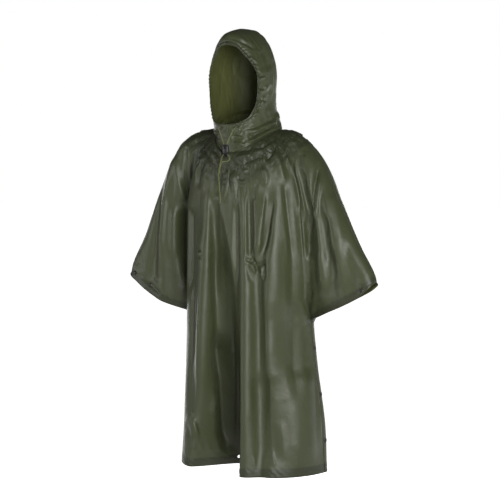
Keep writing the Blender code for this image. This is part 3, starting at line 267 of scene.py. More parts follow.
# Of the front, from the neck down.
CREASES = creases(
    # gathers that leave the neck seam, from the far shoulder to the near one
    (186, 146.5, 186, 166, 187.5, 203, 7, -6.9, 0.8, 0),
    (192, 143, 189.5, 158, 190.5, 182, 8, 4.6, 0.5, 0.3),
    (198, 146, 191.5, 162, 190.5, 186, 8, 5.2, 0.6, 0.3),
    (204.5, 141.5, 199, 158, 196.5, 184, 8, 5.2, 0.6, 0.3),
    (203, 160, 199.5, 174, 198, 190, 8, -5.2, 0.4, 0),
    (211, 164, 206.5, 178, 203.5, 192, 7, 4, 0.6, 0.2),
    (220, 168, 219, 182, 216, 200, 9, -6.8, 0.4, 0),
    (229, 168, 227.5, 184, 222, 204.5, 7, 5.7, 0.7, 0.4),
    (230, 172, 235, 190, 237.5, 214, 11, 7.6, 0.6, -0.2),
    (236, 170, 240.5, 182, 246.5, 178.5, 6, 4, 0.7, 0.2),
    (239, 182, 242.5, 186, 244.5, 183, 5, -3.4, 0.6, 0),
    (258.5, 180, 254.5, 191, 254.8, 202, 6, -6.3, 0.8, 0.4),
    (260, 166, 266.5, 177, 263, 187, 11, 8.5, 0.4, 0.3),
    (275, 141, 278, 156, 286, 186, 8, 5.7, 0.6, 0.3),
    (279.5, 146, 284, 158, 291, 178, 7, -4.6, 0.6, 0),
    (284, 141, 293, 160, 300.5, 188, 8, 5.2, 0.6, 0.3),
    (291.5, 141, 297, 152, 301, 168, 6, -4.6, 0.7, 0),
    (303.5, 147, 304, 151.5, 304.5, 157, 5, -5.7, 0.9, 0.3),
    (304.2, 172, 304.8, 180, 305.5, 188, 5, -5.7, 0.9, 0.3),
    # crumpled cloth under the neck seam
    (252.7, 147.8, 266, 146.1, 275.9, 137.8, 6, -5, 0.6, 0),
    (251, 154.4, 264.3, 149.5, 275.1, 141.2, 9, 7.5, 0.5, 0.3),
    (236, 151, 245, 150, 252.7, 148.6, 7, -6.5, 0.6, 0),
    (236, 157.7, 243.6, 156, 251, 154.4, 7, 5, 0.6, 0.3),
    (242.7, 163.6, 252.7, 159.4, 262.6, 156, 7, -5.5, 0.6, 0),
    (212.9, 149.5, 217.8, 156, 219.5, 163.6, 6, -6, 0.6, 0),
    (217.8, 146, 222.8, 154.4, 223.6, 162.7, 6, 5, 0.6, 0.2),
    (203, 147.8, 207.9, 156, 212, 163.5, 7, -5.5, 0.6, 0),
    (264, 162, 271, 155, 276, 144, 6, -5.5, 0.6, 0),
    # long folds of the chest
    (209, 184, 207.5, 232, 206.5, 300, 11, 5, 0.3, 0),
    (214.5, 196, 215.5, 240, 217, 310, 12, -8, 0.2, 0),
    (243.2, 184, 243.6, 222, 243.4, 262, 5, -3.4, 0.5, 0),
    (249, 190, 249.8, 225, 250.8, 264, 12, -12, 0.4, 0.2),
    (265.5, 190, 261, 224, 257.6, 258, 10, 10.2, 0.5, 0.3),
    (274.5, 197, 269.5, 224, 264.5, 256, 9, -9.3, 0.6, 0),
    (284.5, 178, 288.5, 215, 294.5, 268, 12, -9, 0.3, 0),
    (276, 188, 276.5, 240, 277.5, 310, 20, 4, 0.1, 0.1),
    (295, 150, 301, 190, 306.6, 219, 11, 11.9, 0.6, 0.5),
    (292, 158, 297, 184, 302, 214, 9, -7.6, 0.5, 0),
    (306.5, 216, 308, 238, 311, 262, 10, -8.5, 0.4, 0),
    # the far arm
    (175.5, 153, 178.5, 180, 186.5, 203, 13, 8, 0.5, 0.5),
    (174, 205, 173, 232, 172.5, 262, 14, 9, 0.3, 0),
    (187, 204, 186, 240, 186.5, 300, 24, -20, 0.4, -0.3),
    (168, 190, 166.5, 220, 163, 252, 10, -5.1, 0.3, 0),
    (158, 214, 153, 240, 150, 262, 12, 4.3, 0.2, 0),
    # the near arm
    (321.5, 158, 313, 206, 309.5, 262, 9, -15, 0.8, 0.2),
    (310, 236, 309.5, 270, 312.5, 312, 9, -13, 0.8, 0.2),
    (320.5, 172, 317.5, 200, 314.5, 222, 10, 9.3, 0.4, 0.2),
    (325, 212, 327.5, 238, 331.5, 270, 13, -8.5, 0.3, 0.2),
    (333, 190, 337, 222, 343, 268, 20, 5.9, 0.2, 0.3),
    (330, 246, 333.5, 262, 334.5, 281, 9, -6.8, 0.5, 0.3),
    (320.5, 250, 322, 268, 323, 290, 12, 5.9, 0.3, 0.2),
    (343, 240, 349, 262, 356.5, 286, 12, -5.1, 0.3, 0),
    # gathered points at the waist
    (244.5, 257.5, 249, 260.5, 253.5, 261, 5, -12, 0.9, 0),
    (251.5, 256.5, 255.5, 265, 258, 273, 5, -13, 0.9, 0),
    (249, 263, 253, 268, 256, 273.5, 5, 9, 0.8, 0),
    (256.5, 267, 261, 264, 265, 262.5, 5, -12.5, 0.9, 0),
    (264.5, 258, 265.5, 268, 264.5, 282, 6, -13, 0.8, 0),
    (261, 266, 262, 273, 261.5, 280, 5, 8, 0.8, 0),
    (247, 262, 249, 272, 252.5, 283, 8, -4.2, 0.4, 0.2),
    (198.5, 252.5, 201, 250.5, 203.5, 251, 4, -8.5, 0.9, 0),
    (202.5, 252.5, 200.5, 256, 199, 259.5, 4, 7, 0.9, 0),
    (198.5, 255.5, 201.5, 257, 204.5, 256.5, 4, -8.5, 0.9, 0),
    # skirt
    (203, 222, 201.5, 300, 200.5, 404, 24, 12.5, 0.2, -0.3),
    (216, 236, 218, 310, 222, 386, 20, -15, 0.2, -0.2),
    (219, 326, 224.5, 392, 228.5, 458, 24, -36, 0.4, 0),
    (243, 264, 243.5, 350, 243.5, 462, 18, 5, 0.2, -0.3),
    (192.5, 276, 191, 320, 190, 372, 8, 3, 0.4, 0),
    (198, 276, 196, 320, 194.5, 372, 10, -2.2, 0.3, 0),
    (219, 393, 216, 406, 212.5, 416, 9, 6.8, 0.4, 0.4),
    (223, 347, 229, 349, 236, 347, 7, 4.2, 0.5, 0),
    (229.5, 356, 233, 353.5, 236.5, 348.5, 6, -4.2, 0.6, 0),
    (186.5, 415, 194, 423, 197.5, 440, 10, 9.3, 0.5, 0.5),
    (184.5, 424, 189, 433, 191, 447, 10, -5.1, 0.4, 0),
    (258, 262, 259, 330, 260, 450, 20, -6, 0.2, 0),
    (267, 230, 268, 300, 268, 378, 24, 9.5, 0.35, -0.35),
    (266.5, 378.5, 270, 375.5, 274.5, 375, 6, 3, 0.5, 0),
    (268, 380, 281, 372.5, 293, 366, 14, 2.6, 0.3, 0.3),
    (268, 396, 283, 399, 294, 387, 14, 1.8, 0.3, 0),
    (293, 236, 294, 320, 295, 412, 20, -11, 0.2, 0),
    (262, 370, 264, 415, 266, 474, 40, -15, 0, -0.4),
    (302, 366, 305, 410, 308, 474, 42, 15, 0, 0.45),
    (309.5, 240, 311.5, 290, 314.5, 340, 9, 5, 0.3, 0),
    (315.5, 318, 318, 380, 320.5, 458, 10, 6, 0.3, 0),
    (236.8, 300, 237.6, 380, 237.8, 448, 6, 5, 0.4, 0),
    (285, 446, 300, 445, 317, 446.5, 6, 1.4, 0.5, 0),
    (280, 420, 283, 440, 284, 462, 14, 4.3, 0.3, 0.2),
    # puckers round the cuffs' snaps
    (145, 276, 148.5, 280, 151, 283.5, 5, -6, 0.8, 0),
    (159, 278.5, 155.5, 281, 152.5, 283.5, 5, 5.5, 0.8, 0),
    (153, 286, 157, 290, 160, 294, 5, -5.5, 0.8, 0),
    (139, 264, 137, 267, 135, 270, 5, -5.5, 0.8, 0),
    (146, 272, 141, 271.5, 136, 271, 5, 3, 0.6, 0),
    (350, 288, 355, 290.5, 359, 291.5, 5, -6, 0.8, 0),
    (361.5, 279, 361.5, 285, 360.5, 290, 5, 5.5, 0.8, 0),
    (369, 286, 365.5, 289, 362, 291, 5, -6, 0.8, 0),
    # short puckers that stand on the hem's stitching
    (192, 436, 193.5, 444, 194, 450, 6, 3, 0.5, 0.3),
    (201, 444, 202, 448, 202.5, 452, 6, 2.6, 0.5, 0.3),
    (208, 440, 209, 446, 209.5, 452, 6, 3, 0.5, 0.3),
    (218, 438, 219.5, 446, 220, 452, 7, 3.4, 0.5, 0.3),
    (229, 442, 229.5, 447, 230, 452, 5, 2.4, 0.5, 0),
    (254, 456, 254.5, 462, 255, 467, 6, 2.4, 0.5, 0),
    (272, 452, 274, 460, 275, 467, 7, 3, 0.5, 0.3),
    (296, 456, 296.5, 462, 297, 467, 6, 2.4, 0.5, 0),
)

# Of the hood and its collar.
HOOD_CREASES = creases(
    # irregular puckers of the near edge's cord channel
    (243, 52, 248, 53, 252.5, 58, 4, -4, 0.6, 0),
    (249.5, 58.5, 255, 59.5, 259.5, 64.5, 4, 4.4, 0.6, 0),
    (253.5, 64, 258, 68, 261, 73.5, 4, -5, 0.7, 0),
    (255.2, 71.5, 260, 73.5, 264.3, 78.1, 5, -5.5, 0.7, 0),
    (257.6, 81.5, 262, 78.5, 266.8, 77.3, 5, 5, 0.6, 0),
    (257.5, 85, 262, 88.5, 268, 88, 5, -5, 0.7, 0),
    (258, 92, 263, 91, 270, 84.8, 6, 5, 0.6, 0.3),
    (259, 96, 263.5, 99.7, 269.4, 101, 5, -5.5, 0.7, 0),
    (257.5, 106.3, 262, 102.5, 266, 96, 5, 5.5, 0.6, 0.2),
    (252.7, 115.5, 258, 110, 263.6, 106.2, 6, -6, 0.7, 0),
    (248.5, 121.3, 255, 115, 261, 111.3, 6, 5.5, 0.6, 0.2),
    (243, 127, 251, 119.5, 256, 117, 5, -5, 0.6, 0),
    (236, 134, 243, 125.5, 250, 121, 7, 5, 0.5, 0.2),
    # crumples of the collar
    (207.9, 137.8, 213.7, 135.4, 219.5, 134.2, 6, -6, 0.6, 0),
    (209.6, 141.2, 217.8, 144.5, 223.7, 147.8, 7, -6.5, 0.6, 0),
    (213, 139.5, 219, 139.5, 225.5, 142.5, 6, 5, 0.6, 0.2),
    (213, 128, 216.5, 131, 221, 131.5, 5, -4, 0.6, 0),
    (231, 137.8, 237, 137, 244.6, 139.5, 6, -6, 0.6, 0),
    (233, 143, 240, 143.5, 246, 146, 7, 5, 0.6, 0.2),
    (235.5, 127, 234, 131, 230.5, 134, 5, -4, 0.6, 0),
    (241, 129, 240, 133, 238, 136, 5, 4, 0.6, 0),
    (246, 140.8, 258, 138.5, 274, 130.5, 8, 7, 0.5, 0.3),
    (247, 136.5, 259, 132.5, 276, 124.5, 8, -7, 0.6, 0),
    (249, 129.5, 262, 125, 277, 118.5, 7, -5, 0.5, 0),
    # soft folds of the near side
    (262, 50, 268.5, 58, 272, 70, 9, -4.5, 0.3, 0),
    (266, 66, 268.5, 80, 267.5, 92, 10, 4.5, 0.3, 0),
    (240, 40.5, 249, 44, 257, 50, 6, -4.5, 0.5, 0),
    (224, 42, 233, 41, 243, 44.5, 5, 4, 0.5, 0),
    (272, 84, 271.5, 98, 268, 112, 9, -4.5, 0.3, 0),
)

# Middle lines of the cords.
CORD_PATHS = {
    "cord_upper_left": ((0.0262, -0.1293, 0.0049), (0.0280, -0.1352, 0.0038), (0.0258, -0.1420, -0.0030),
                        (0.0165, -0.1468, -0.0200), (0.0085, -0.1480, -0.0390), (0.0055, -0.1480, -0.0473)),
    "cord_upper_right": ((-0.0262, -0.1321, 0.0049), (-0.0280, -0.1380, 0.0036),
                         (-0.0258, -0.1440, -0.0030), (-0.0170, -0.1468, -0.0190),
                         (-0.0090, -0.1480, -0.0380), (-0.0055, -0.1480, -0.0473)),
    "cord_lower_right": ((-0.0068, -0.1480, -0.0764), (-0.0115, -0.1475, -0.0820),
                         (-0.0165, -0.1470, -0.0930), (-0.0250, -0.1450, -0.1180),
                         (-0.0270, -0.1445, -0.1375), (-0.0250, -0.1445, -0.1640),
                         (-0.0220, -0.1445, -0.1950), (-0.0200, -0.1440, -0.2235)),
    "cord_lower_left": ((0.0068, -0.1480, -0.0766), (0.0125, -0.1485, -0.0815), (0.0160, -0.1490, -0.0885),
                        (0.0105, -0.1490, -0.0960), (0.0010, -0.1490, -0.0985),
                        (-0.0070, -0.1490, -0.0970), (-0.0130, -0.1485, -0.1000),
                        (-0.0185, -0.1475, -0.1100), (-0.0214, -0.1465, -0.1220),
                        (-0.0232, -0.1460, -0.1320)),
}

# Cloth: colours of its light and dark patches, roughness, and the share of light that shines through.
OUTSIDE = ((0.062, 0.073, 0.034), (0.052, 0.062, 0.027), 0.48, 0.05)
# The inside is its own yellower coated face, and is also painted lighter to stand for light that shines in
# through the cloth.
INSIDE = ((0.122, 0.134, 0.041), (0.101, 0.113, 0.032), 0.56, 0.20)
WEAVE_SCALE = 560.0
# Others: scale, detail and roughness of the mottling, its two colours, the shine's two roughnesses, the
# grain's scale and strength, and how metallic it is.
METAL = ((420.0, 4.0, 0.65), (0.030, 0.029, 0.026), (0.090, 0.086, 0.076), (0.28, 0.46), 1500.0, 0.12, 0.9)
PLASTIC = ((160.0,), (0.007, 0.007, 0.008), (0.016, 0.016, 0.016), (0.34, 0.50), 1800.0, 0.25)
THREAD = ((300.0,), (0.030, 0.034, 0.018), (0.052, 0.058, 0.034), (0.62, 0.85), 2400.0, 0.3)
LIME, LIME_SHADE, LIME_DARK = (0.190, 0.220, 0.045), (0.080, 0.100, 0.024), (0.040, 0.048, 0.014)
FLOOR_DARK, FLOOR_LIGHT = (0.74, 0.74, 0.74), (0.78, 0.78, 0.78)
WHITE = (1.0, 1.0, 1.0)

# Profile of a snap's cap: shares of its radius, and heights in millimetres.
SNAP_PROFILE = ((0.0, -0.4), (1.0, -0.4), (1.0, 0.5), (0.96, 0.9), (0.88, 1.2), (0.78, 1.0), (0.70, 0.6),
                (0.52, 0.5), (0.44, 1.0), (0.30, 1.3), (0.12, 1.4), (0.0, 1.4))
BARREL_DEPTH = 0.0016  # how far a ring's barrel reaches through the cloth
ROUND_SIDES = 48
BLOCK_LEVELS, BLOCK_SIDES, BLOCK_SQUARENESS, BLOCK_SWELL = 28, 64, 2.6, 0.10
BRAID_SIDES, BRAID_STEP, BRAID_TWIST, BRAID_RELIEF = 20, 0.00045, 0.00062, 0.00010

# A stitch is a small bar of four sections: places along it, their sizes, the section and the bar's faces.
STITCH_PLACES = np.array([-0.5, -0.25, 0.25, 0.5])
STITCH_SIZES = (0.35, 1.0, 1.0, 0.35)
STITCH_SECTION = ((1.0, -0.4), (0.7, 0.7), (-0.7, 0.7), (-1.0, -0.4))
STITCH_FACES = [(ring + q, ring + (q + 1) % 4, ring + 4 + (q + 1) % 4, ring + 4 + q)
                for ring in (0, 4, 8) for q in range(4)] + [(3, 2, 1, 0), (12, 13, 14, 15)]

# Softboxes round the chest: turn to the camera's right and rise above its level in degrees, and watts.
SOFTBOXES = (
    ("key", 16.0, 5.0, 82.0),
    ("left", -78.0, 5.0, 27.0),
    ("low_left", -28.0, -14.0, 3.0),
    ("back_left", -150.0, 0.0, 22.0),
    ("back_right", 160.0, 0.0, 22.0),
)
CHEST, BOX_DISTANCE, BOX_SIZE = (0.0, 0.0, -0.40), 3.0, (1.3, 1.6)
WORLD_LIGHT = 0.04
WHITE_CONE, CONE_EDGE = 13.0, 17.0  # degrees from the view: white within, and where it has faded
FLOOR_REACH, FLOOR_LEVEL = 60.0, -1.52
SENSOR_WIDTH = 36.0  # millimetres


# ---- curves and noise -------------------------------------------------------------------------------
def smooth(tab, column, at, key=None):
    """Smooth curve through a table's column that never overshoots its rows."""
    key = key or next(iter(tab))
    x, y = tab[key], tab[column]
    if x[0] > x[-1]:
        x, y = x[::-1], y[::-1]
    at = np.clip(at, x[0], x[-1])
    step = np.diff(x)
    slope = np.diff(y) / step
    m = np.zeros_like(y)
    same_way = slope[:-1] * slope[1:] > 0
    w1, w2 = 2 * step[1:] + step[:-1], step[1:] + 2 * step[:-1]
    with np.errstate(divide="ignore", invalid="ignore"):
        mean = (w1 + w2) / (w1 / slope[:-1] + w2 / slope[1:])
    m[1:-1] = np.where(same_way, mean, 0.0)
    m[0], m[-1] = slope[0], slope[-1]
    i = np.clip(np.searchsorted(x, at, side="right") - 1, 0, len(step) - 1)
    h = step[i]
    u = (at - x[i]) / h
    return (
        y[i] * (1 + 2 * u) * (1 - u) ** 2
        + m[i] * h * u * (1 - u) ** 2
        + y[i + 1] * u**2 * (3 - 2 * u)
        + m[i + 1] * h * u**2 * (u - 1)
    )


def ease(x):
    """0 below 0, 1 above 1, and smooth between."""
    x = np.clip(x, 0.0, 1.0)
    return x * x * (3 - 2 * x)


def bump(x):
    """1 at 0, falling smoothly to 0 at -1 and 1."""
    return np.clip(1 - x**2, 0.0, 1.0) ** 2


def run_along(points):
    """Distance along a polyline at each of its points."""
    return np.concatenate([[0.0], np.cumsum(np.linalg.norm(np.diff(points, axis=0), axis=1))])


def points_at(line, run, at):
    """Points of a polyline at distances along it."""
    return np.stack([np.interp(at, run, line[:, k]) for k in range(3)], axis=1)


def lengths(grid, axis):
    """Distance from the first point along each row (axis 1) or column (axis 0) of a grid of points."""
    run = np.cumsum(np.linalg.norm(np.diff(grid, axis=axis), axis=2), axis=axis)
    return np.concatenate([np.zeros_like(run.take([0], axis)), run], axis=axis)


def above_last(grid):
    """Distance above the last row, along each column."""
    return lengths(grid[::-1], 0)[::-1]


def upwards(grid):
    """The columns of a grid from its last row up, as rows."""
    return grid[::-1].transpose(1, 0, 2)


def spaced(points, count, near=1.0, pinned=0, pin=0.0, hold=0.0):
    """count + 1 points along a polyline, with the same cell rule as the solids."""
    run = run_along(points)
    share = np.linspace(0.0, 1.0, count + 1)
    at = run[-1] * (near * share + (1 - near) * share**3)
    if hold > 0:
        k = count - pinned
        free = at[k]
        held = free + hold * (pin - free)
        at = np.where(share <= share[k], at * held / free,
                      held + (at - free) * (run[-1] - held) / (run[-1] - free))
    return points_at(points, run, at)


def unit(v):
    return v / (np.linalg.norm(v, axis=-1, keepdims=True) + 1e-12)


def normals(grid):
    """Unit normals of a grid of points."""
    return unit(np.cross(np.gradient(grid, axis=0), np.gradient(grid, axis=1)))


def outward(grid, out):
    """Unit normals that face away from the middle plane at the grid's centre."""
    n = normals(grid)
    middle = n[:, n.shape[1] // 2, 1]
    return n * np.where(middle * out < 0, -1.0, 1.0)[:, None, None]


def crumple(u, v, seed):
    """Crisp random folds from -1 to 1: ridges where smooth noise crosses zero, bent by slower noise."""
    a, b = u + 0.7 * noise(u / 2.1, v / 2.1, seed + 1), v + 0.7 * noise(u / 2.3, v / 2.3, seed + 2)
    return 1 - 2 * np.abs(noise(a, b, seed)) ** 0.8 - 0.25


def noise(u, v, seed):
    """Smooth value noise from -1 to 1 on a plane, one lattice cell to each unit."""
    lattice = np.random.RandomState(seed).uniform(-1.0, 1.0, (64, 64))
    i, j = np.floor(u).astype(int), np.floor(v).astype(int)
    a, b = ease(u - i), ease(v - j)
    i, j, i1, j1 = i % 64, j % 64, (i + 1) % 64, (j + 1) % 64
    return ((lattice[i, j] * (1 - a) + lattice[i1, j] * a) * (1 - b)
            + (lattice[i, j1] * (1 - a) + lattice[i1, j1] * a) * b)


# ---- the photograph's view --------------------------------------------------------------------------
def seen(points):
    """Where points are seen in the photograph, in pixels."""
    up = np.cross(VIEW_BACK, VIEW_SIDE)
    place = points - VIEW_TARGET
    size = VIEW_DISTANCE / (VIEW_DISTANCE - place @ VIEW_BACK) / METRES_A_PIXEL
    return PHOTO_SIZE / 2 + VIEW_SHIFT + place @ VIEW_SIDE * size, PHOTO_SIZE / 2 - place @ up * size


def crease_height(u, v, tab):
    """Sum of the creases' heights at places in the photograph."""
    height = np.zeros_like(u)
    for c in rows_of(tab):
        start, middle, end = (np.array([c[at + "_x"], c[at + "_y"]]) for at in ("from", "mid", "to"))
        bend = 2 * middle - 0.5 * (start + end)
        t = np.linspace(0.0, 1.0, 13)[:, None]
        line = start * (1 - t) ** 2 + 2 * bend * t * (1 - t) + end * t**2
        wide = c["wide"] / METRES_A_PIXEL
        reach = 3 * wide
        near = (u > line[:, 0].min() - reach) & (u < line[:, 0].max() + reach)
        near &= (v > line[:, 1].min() - reach) & (v < line[:, 1].max() + reach)
        a, d = line[:-1], np.diff(line, axis=0)
        gap = np.stack([u[near], v[near]], axis=1)[:, None] - a
        along = np.clip((gap * d).sum(2) / (d**2).sum(1), 0.0, 1.0)
        away = gap - along[..., None] * d
        distance = np.linalg.norm(away, axis=2)
        nearest = distance.argmin(1)
        pick = np.arange(len(gap))
        turn = d[nearest, 1] * away[pick, nearest, 0] - d[nearest, 0] * away[pick, nearest, 1]
        s = distance[pick, nearest] / wide
        s *= np.where(turn > 0, 1 + c["lean"], 1 - c["lean"])
        share = (nearest + along[pick, nearest]) / len(d)
        ends = ease(share / 0.22) * ease((1 - share) / 0.22)
        profile = (1 - c["crisp"]) * bump(s / 1.5) + c["crisp"] * np.exp(-1.8 * s) * ease((3.0 - s) / 1.5)
        height[near] += c["rise"] * ends * profile
    return height


# ---- the sheet --------------------------------------------------------------------------------------
def ring_end(side, axis, t):
    """One coordinate of the rings' ends on a side."""
    return smooth(RINGS, f"{SIDES[side]}_{axis}", t)


def arm_line(side):
    """Top line of the shoulder and arm in the X-Z plane, from the neck to the wrist."""
    t = np.linspace(0.0, WRIST_T, 60)
    return np.stack([ring_end(side, "x", t), ring_end(side, "z", t)], axis=1)


ARM_LINES = [arm_line(side) for side in SIDES]


def below_arm(x, z):
    """Distance of points from the top line of the shoulder and arm."""
    nearest = np.full(x.shape, FAR)
    for line in ARM_LINES:
        a, d = line[:-1], np.diff(line, axis=0)
        gap_x, gap_z = x[:, None] - a[:, 0], z[:, None] - a[:, 1]
        along = np.clip((gap_x * d[:, 0] + gap_z * d[:, 1]) / (d**2).sum(1), 0.0, 1.0)
        away = np.hypot(gap_x - along * d[:, 0], gap_z - along * d[:, 1])
        nearest = np.minimum(nearest, away.min(1))
    return nearest


def section(share, face):
    """Depth of the body's section at a share of the way to its side, as a share of the whole depth."""
    n = SQUARENESS[face]
    return (1 - share**n) ** (1 / n)


def body_depth(x, z, face):
    half = np.where(x > 0, smooth(BODY, "left", z, "z"), smooth(BODY, "right", z, "z"))
    return smooth(BODY, face, z, "z") * section(np.clip(np.abs(x) / half, 0.0, 1.0), face)


def depth(x, z, face):
    """How far the cloth stands out from the middle plane above the underarm."""
    body = body_depth(x, z, face)
    below = below_arm(x, z)
    share = smooth(ARM, "share", np.abs(x))
    sleeve = smooth(SLEEVE, "half", below) * share
    soft = BLEND * np.clip((body + sleeve) / 0.05, 0.05, 1.0)
    mix = np.clip(0.5 + 0.5 * (body - sleeve) / soft, 0.0, 1.0)
    both = sleeve + (body - sleeve) * mix + 0.5 * soft * mix * (1 - mix)
    radius = SLEEVE_ROUND * share + (NECK_ROUND - SLEEVE_ROUND) * ease((0.24 - np.abs(x)) / 0.12)
    over = np.clip(below / radius, 0.0, 1.0)
    return both * np.sqrt(1 - (1 - over) ** 2)


def is_cuff(t):
    """Rings between the wrist and the underarm end on an open edge."""
    return WRIST_T < t < UNDERARM_T


def half_ring(t, face, side, cells):
    """Half of one ring without folds, from the centre of the front or back to the left or right."""
    end_x, end_z = ring_end(side, "x", t), ring_end(side, "z", t)
    centre_z = smooth(RINGS, face + "_z", t)
    across = np.sin(np.linspace(0.0, math.pi / 2, RING_SAMPLES))
    x = end_x * across
    z = centre_z + (end_z - centre_z) * across**2
    if t < UNDERARM_T:
        stand = depth(x, z, face)
        body = body_depth(x, z, face)
    else:
        stand = smooth(BODY, face, z, "z") * section(across, face)
        body = stand.copy()
        run = run_along(np.stack([x, stand, 0.0 * z], axis=1))
        near_arm = 1 - ease((t - UNDERARM_T) / 0.1)
        z += near_arm * (end_z - centre_z) * ((run / run[-1]) ** 2 - across**2)
    if not is_cuff(t):
        stand[-1] = 0.0
    line = np.stack([x, OUT[face] * stand, z], axis=1)
    spacing = BODY_SPACING + 0.06 * float(ease((UNDERARM_T - t) / 0.25))
    root = RING_SAMPLES - 1 - np.argmax(body[::-1] >= ROOT_DEPTH)
    run = run_along(line)
    hold = float(ease((t - 0.24) / 0.26) * (1 - ease((t - UNDERARM_T) / 0.12)))
    return spaced(line, cells, min(1.0, spacing / run[-1]), int(ROOT_SHARE * cells), run[root], hold)


def middle_plane(grid):
    """Where the plane between front and back lies: it leans with the arms and the side closings."""
    t = SHEET_ROWS[:, None]
    lean = np.zeros(grid.shape[:2])
    for side in SIDES:
        end_x, end_y = ring_end(side, "x", t), ring_end(side, "y", t)
        root_x, root_y = ring_end(side, "x", UNDERARM_T), ring_end(side, "y", UNDERARM_T)
        share = np.clip(grid[..., 0] / end_x, 0.0, 1.0)
        from_end = end_y * share**4
        inner = np.clip(grid[..., 0] / root_x, 0.0, 1.0)
        outer = np.clip((grid[..., 0] - root_x) / (end_x - root_x + side * 1e-6), 0.0, 1.0)
        from_root = root_y * inner**4 + (end_y - root_y) * outer
        near_root = np.where(t < UNDERARM_T, ease((t - 0.58) / 0.08), 0.0)
        lean += np.where(side * grid[..., 0] > 0, from_end + near_root * (from_root - from_end), 0.0)
    return lean


def fold_height(x, z, folds):
    """Sum of the large folds' heights at points of the base sheet."""
    height = np.zeros_like(x)
    for f in rows_of(folds):
        line = table("z x wide rise",
                     (f["low_z"], f["low_x"], f["low_wide"], f["low_rise"]),
                     (f["mid_z"], f["mid_x"], 0.5 * (f["low_wide"] + f["top_wide"]), f["mid_rise"]),
                     (f["top_z"], f["top_x"], f["top_wide"], f["top_rise"]))
        offset = (x - smooth(line, "x", z, "z")) / smooth(line, "wide", z, "z")
        inside = ease((f["top_z"] + 0.06 - z) / 0.10) * ease((z - f["low_z"] + 0.04) / 0.08)
        height += smooth(line, "rise", z, "z") * inside * bump(offset / 1.6)
    return height


def gather_height(t, across, count):
    """Gathers that spread from the neck seam: each has its own height and length."""
    wave = across * count
    number = np.floor(wave)
    size = GATHER_RISE + GATHER_SPREAD * np.sin(2.3 * number + 0.7)
    reach = 0.17 + 0.06 * np.sin(1.7 * number + 0.4)
    starts = 0.30 * ease(t / 0.035) + 0.85 * ease((t - PATCH_REACH + 0.010) / 0.030)
    fade = starts * (1 - ease((t - 0.04) / reach))
    return size * fade * -np.cos(2 * math.pi * wave)


def sheet(face):
    """The front or back of the sheet with its large folds, as a grid of outer points."""
    out, cells = OUT[face], CELLS[face]
    base = []
    for t in SHEET_ROWS:
        right, left = (half_ring(t, face, side, cells // 2) for side in (-1, 1))
        base.append(np.concatenate([right[:0:-1], left]))
    base = np.array(base)
    across = np.ones(len(base))[:, None] * np.linspace(0.0, 1.0, cells + 1)[None, :]
    t = SHEET_ROWS[:, None] * np.ones_like(across)
    cuff = np.where(CUFF_ROWS, 0.8, 0.0)[:, None]
    fade = np.maximum(ease((np.minimum(across, 1 - across) - 0.003) / 0.05), cuff)
    grid = base + outward(base, out) * (fade * gather_height(t, across, GATHERS[face]))[..., None]
    folds = FRONT_FOLDS if face == "front" else BACK_FOLDS
    stand = out * grid[..., 1] + fade * fold_height(base[..., 0], base[..., 2], folds)
    least = np.minimum(out * base[..., 1], LEAST_DEPTH)
    stand = np.where(np.abs(base[..., 0]) > 0.15, np.maximum(stand, least), stand)
    grid[..., 1] = out * stand + middle_plane(base)
    return grid


# ---- relief of the sheet ----------------------------------------------------------------------------
def from_edge(grid, edge):
    """Distance of a grid's points from a line of points."""
    away = np.full(grid.shape[:2], FAR)
    for point in edge:
        away = np.minimum(away, np.linalg.norm(grid - point, axis=2))
    return away


def turned_edge(away, width, along, seed):
    """Height of a turned hem, and where it doubles the cloth, to be painted darker as shade: a slight step
    at its stitching, with slanted puckers.
    """
    inside = 1 - ease((away - width + 0.0008) / 0.0016)
    step = HEM_STEP * inside
    stitch = STITCH_DIP * bump((away - width + 0.0015) / 0.0024)
    phase = along + 0.9 * away
    size = 0.55 + 0.45 * noise(along / 0.05, away * 0, seed)
    wave = np.sin(2 * math.pi * phase / 0.017 + 1.5 * noise(phase / 0.03, away / 0.02, seed + 1))
    pucker = HEM_PUCKERS * size * wave * bump((away - 0.55 * width) / (0.85 * width))
    return step + stitch + pucker, inside


def sheet_relief(grid, face):
    """Fine relief of the front or back on top of its large folds, and where its cloth is doubled, which is
    painted darker as shade.
    """
    rows, seed = SHEET_ROWS, 20 if face == "front" else 40
    x, z = grid[..., 0], grid[..., 2]
    height = BROAD_WAVES * noise(x / 0.075 + 7, z / 0.22 + 5, seed)
    height += SMALL_WAVES * noise(x / 0.030 + 3, z / 0.090 + 9, seed + 1)
    yoke = ease(rows / 0.01)[:, None] * (1 - ease((rows - 0.12) / 0.13))[:, None]
    height += YOKE_CRUMPLES * yoke * crumple(x / 0.011, z / 0.020, seed + 8)
    height += LONG_CRUMPLES * crumple(x / 0.050, z / 0.200, seed + 11) * (1 - yoke)
    if face == "front":
        facing = outward(grid, -1.0) @ VIEW_BACK
        height += crease_height(*seen(grid), CREASES) * ease((facing - 0.10) / 0.30)
    # painted shade: where the hem and cuffs double the cloth it is marked to be painted darker
    hem_height, doubled_shade = turned_edge(above_last(grid), HEM_WIDTH, x, seed + 2)
    height += hem_height
    cuffs = (rows > WRIST_T - 0.004) & (rows < UNDERARM_T + 0.004)
    # painted shade: the cloth under the neck reinforcement is marked to be painted darker
    under_patch = ease(rows / 0.01) * (1 - ease((rows - YOKE_END + 0.02) / 0.03))
    doubled_shade = np.maximum(doubled_shade, 0.8 * under_patch[:, None])
    for column in (0, -1):
        away = from_edge(grid, grid[cuffs, column])
        cuff_height, cuff_doubled_shade = turned_edge(away, CUFF_WIDTH, z, seed + 5)
        height += cuff_height
        doubled_shade = np.maximum(doubled_shade, cuff_doubled_shade)
    return height, doubled_shade


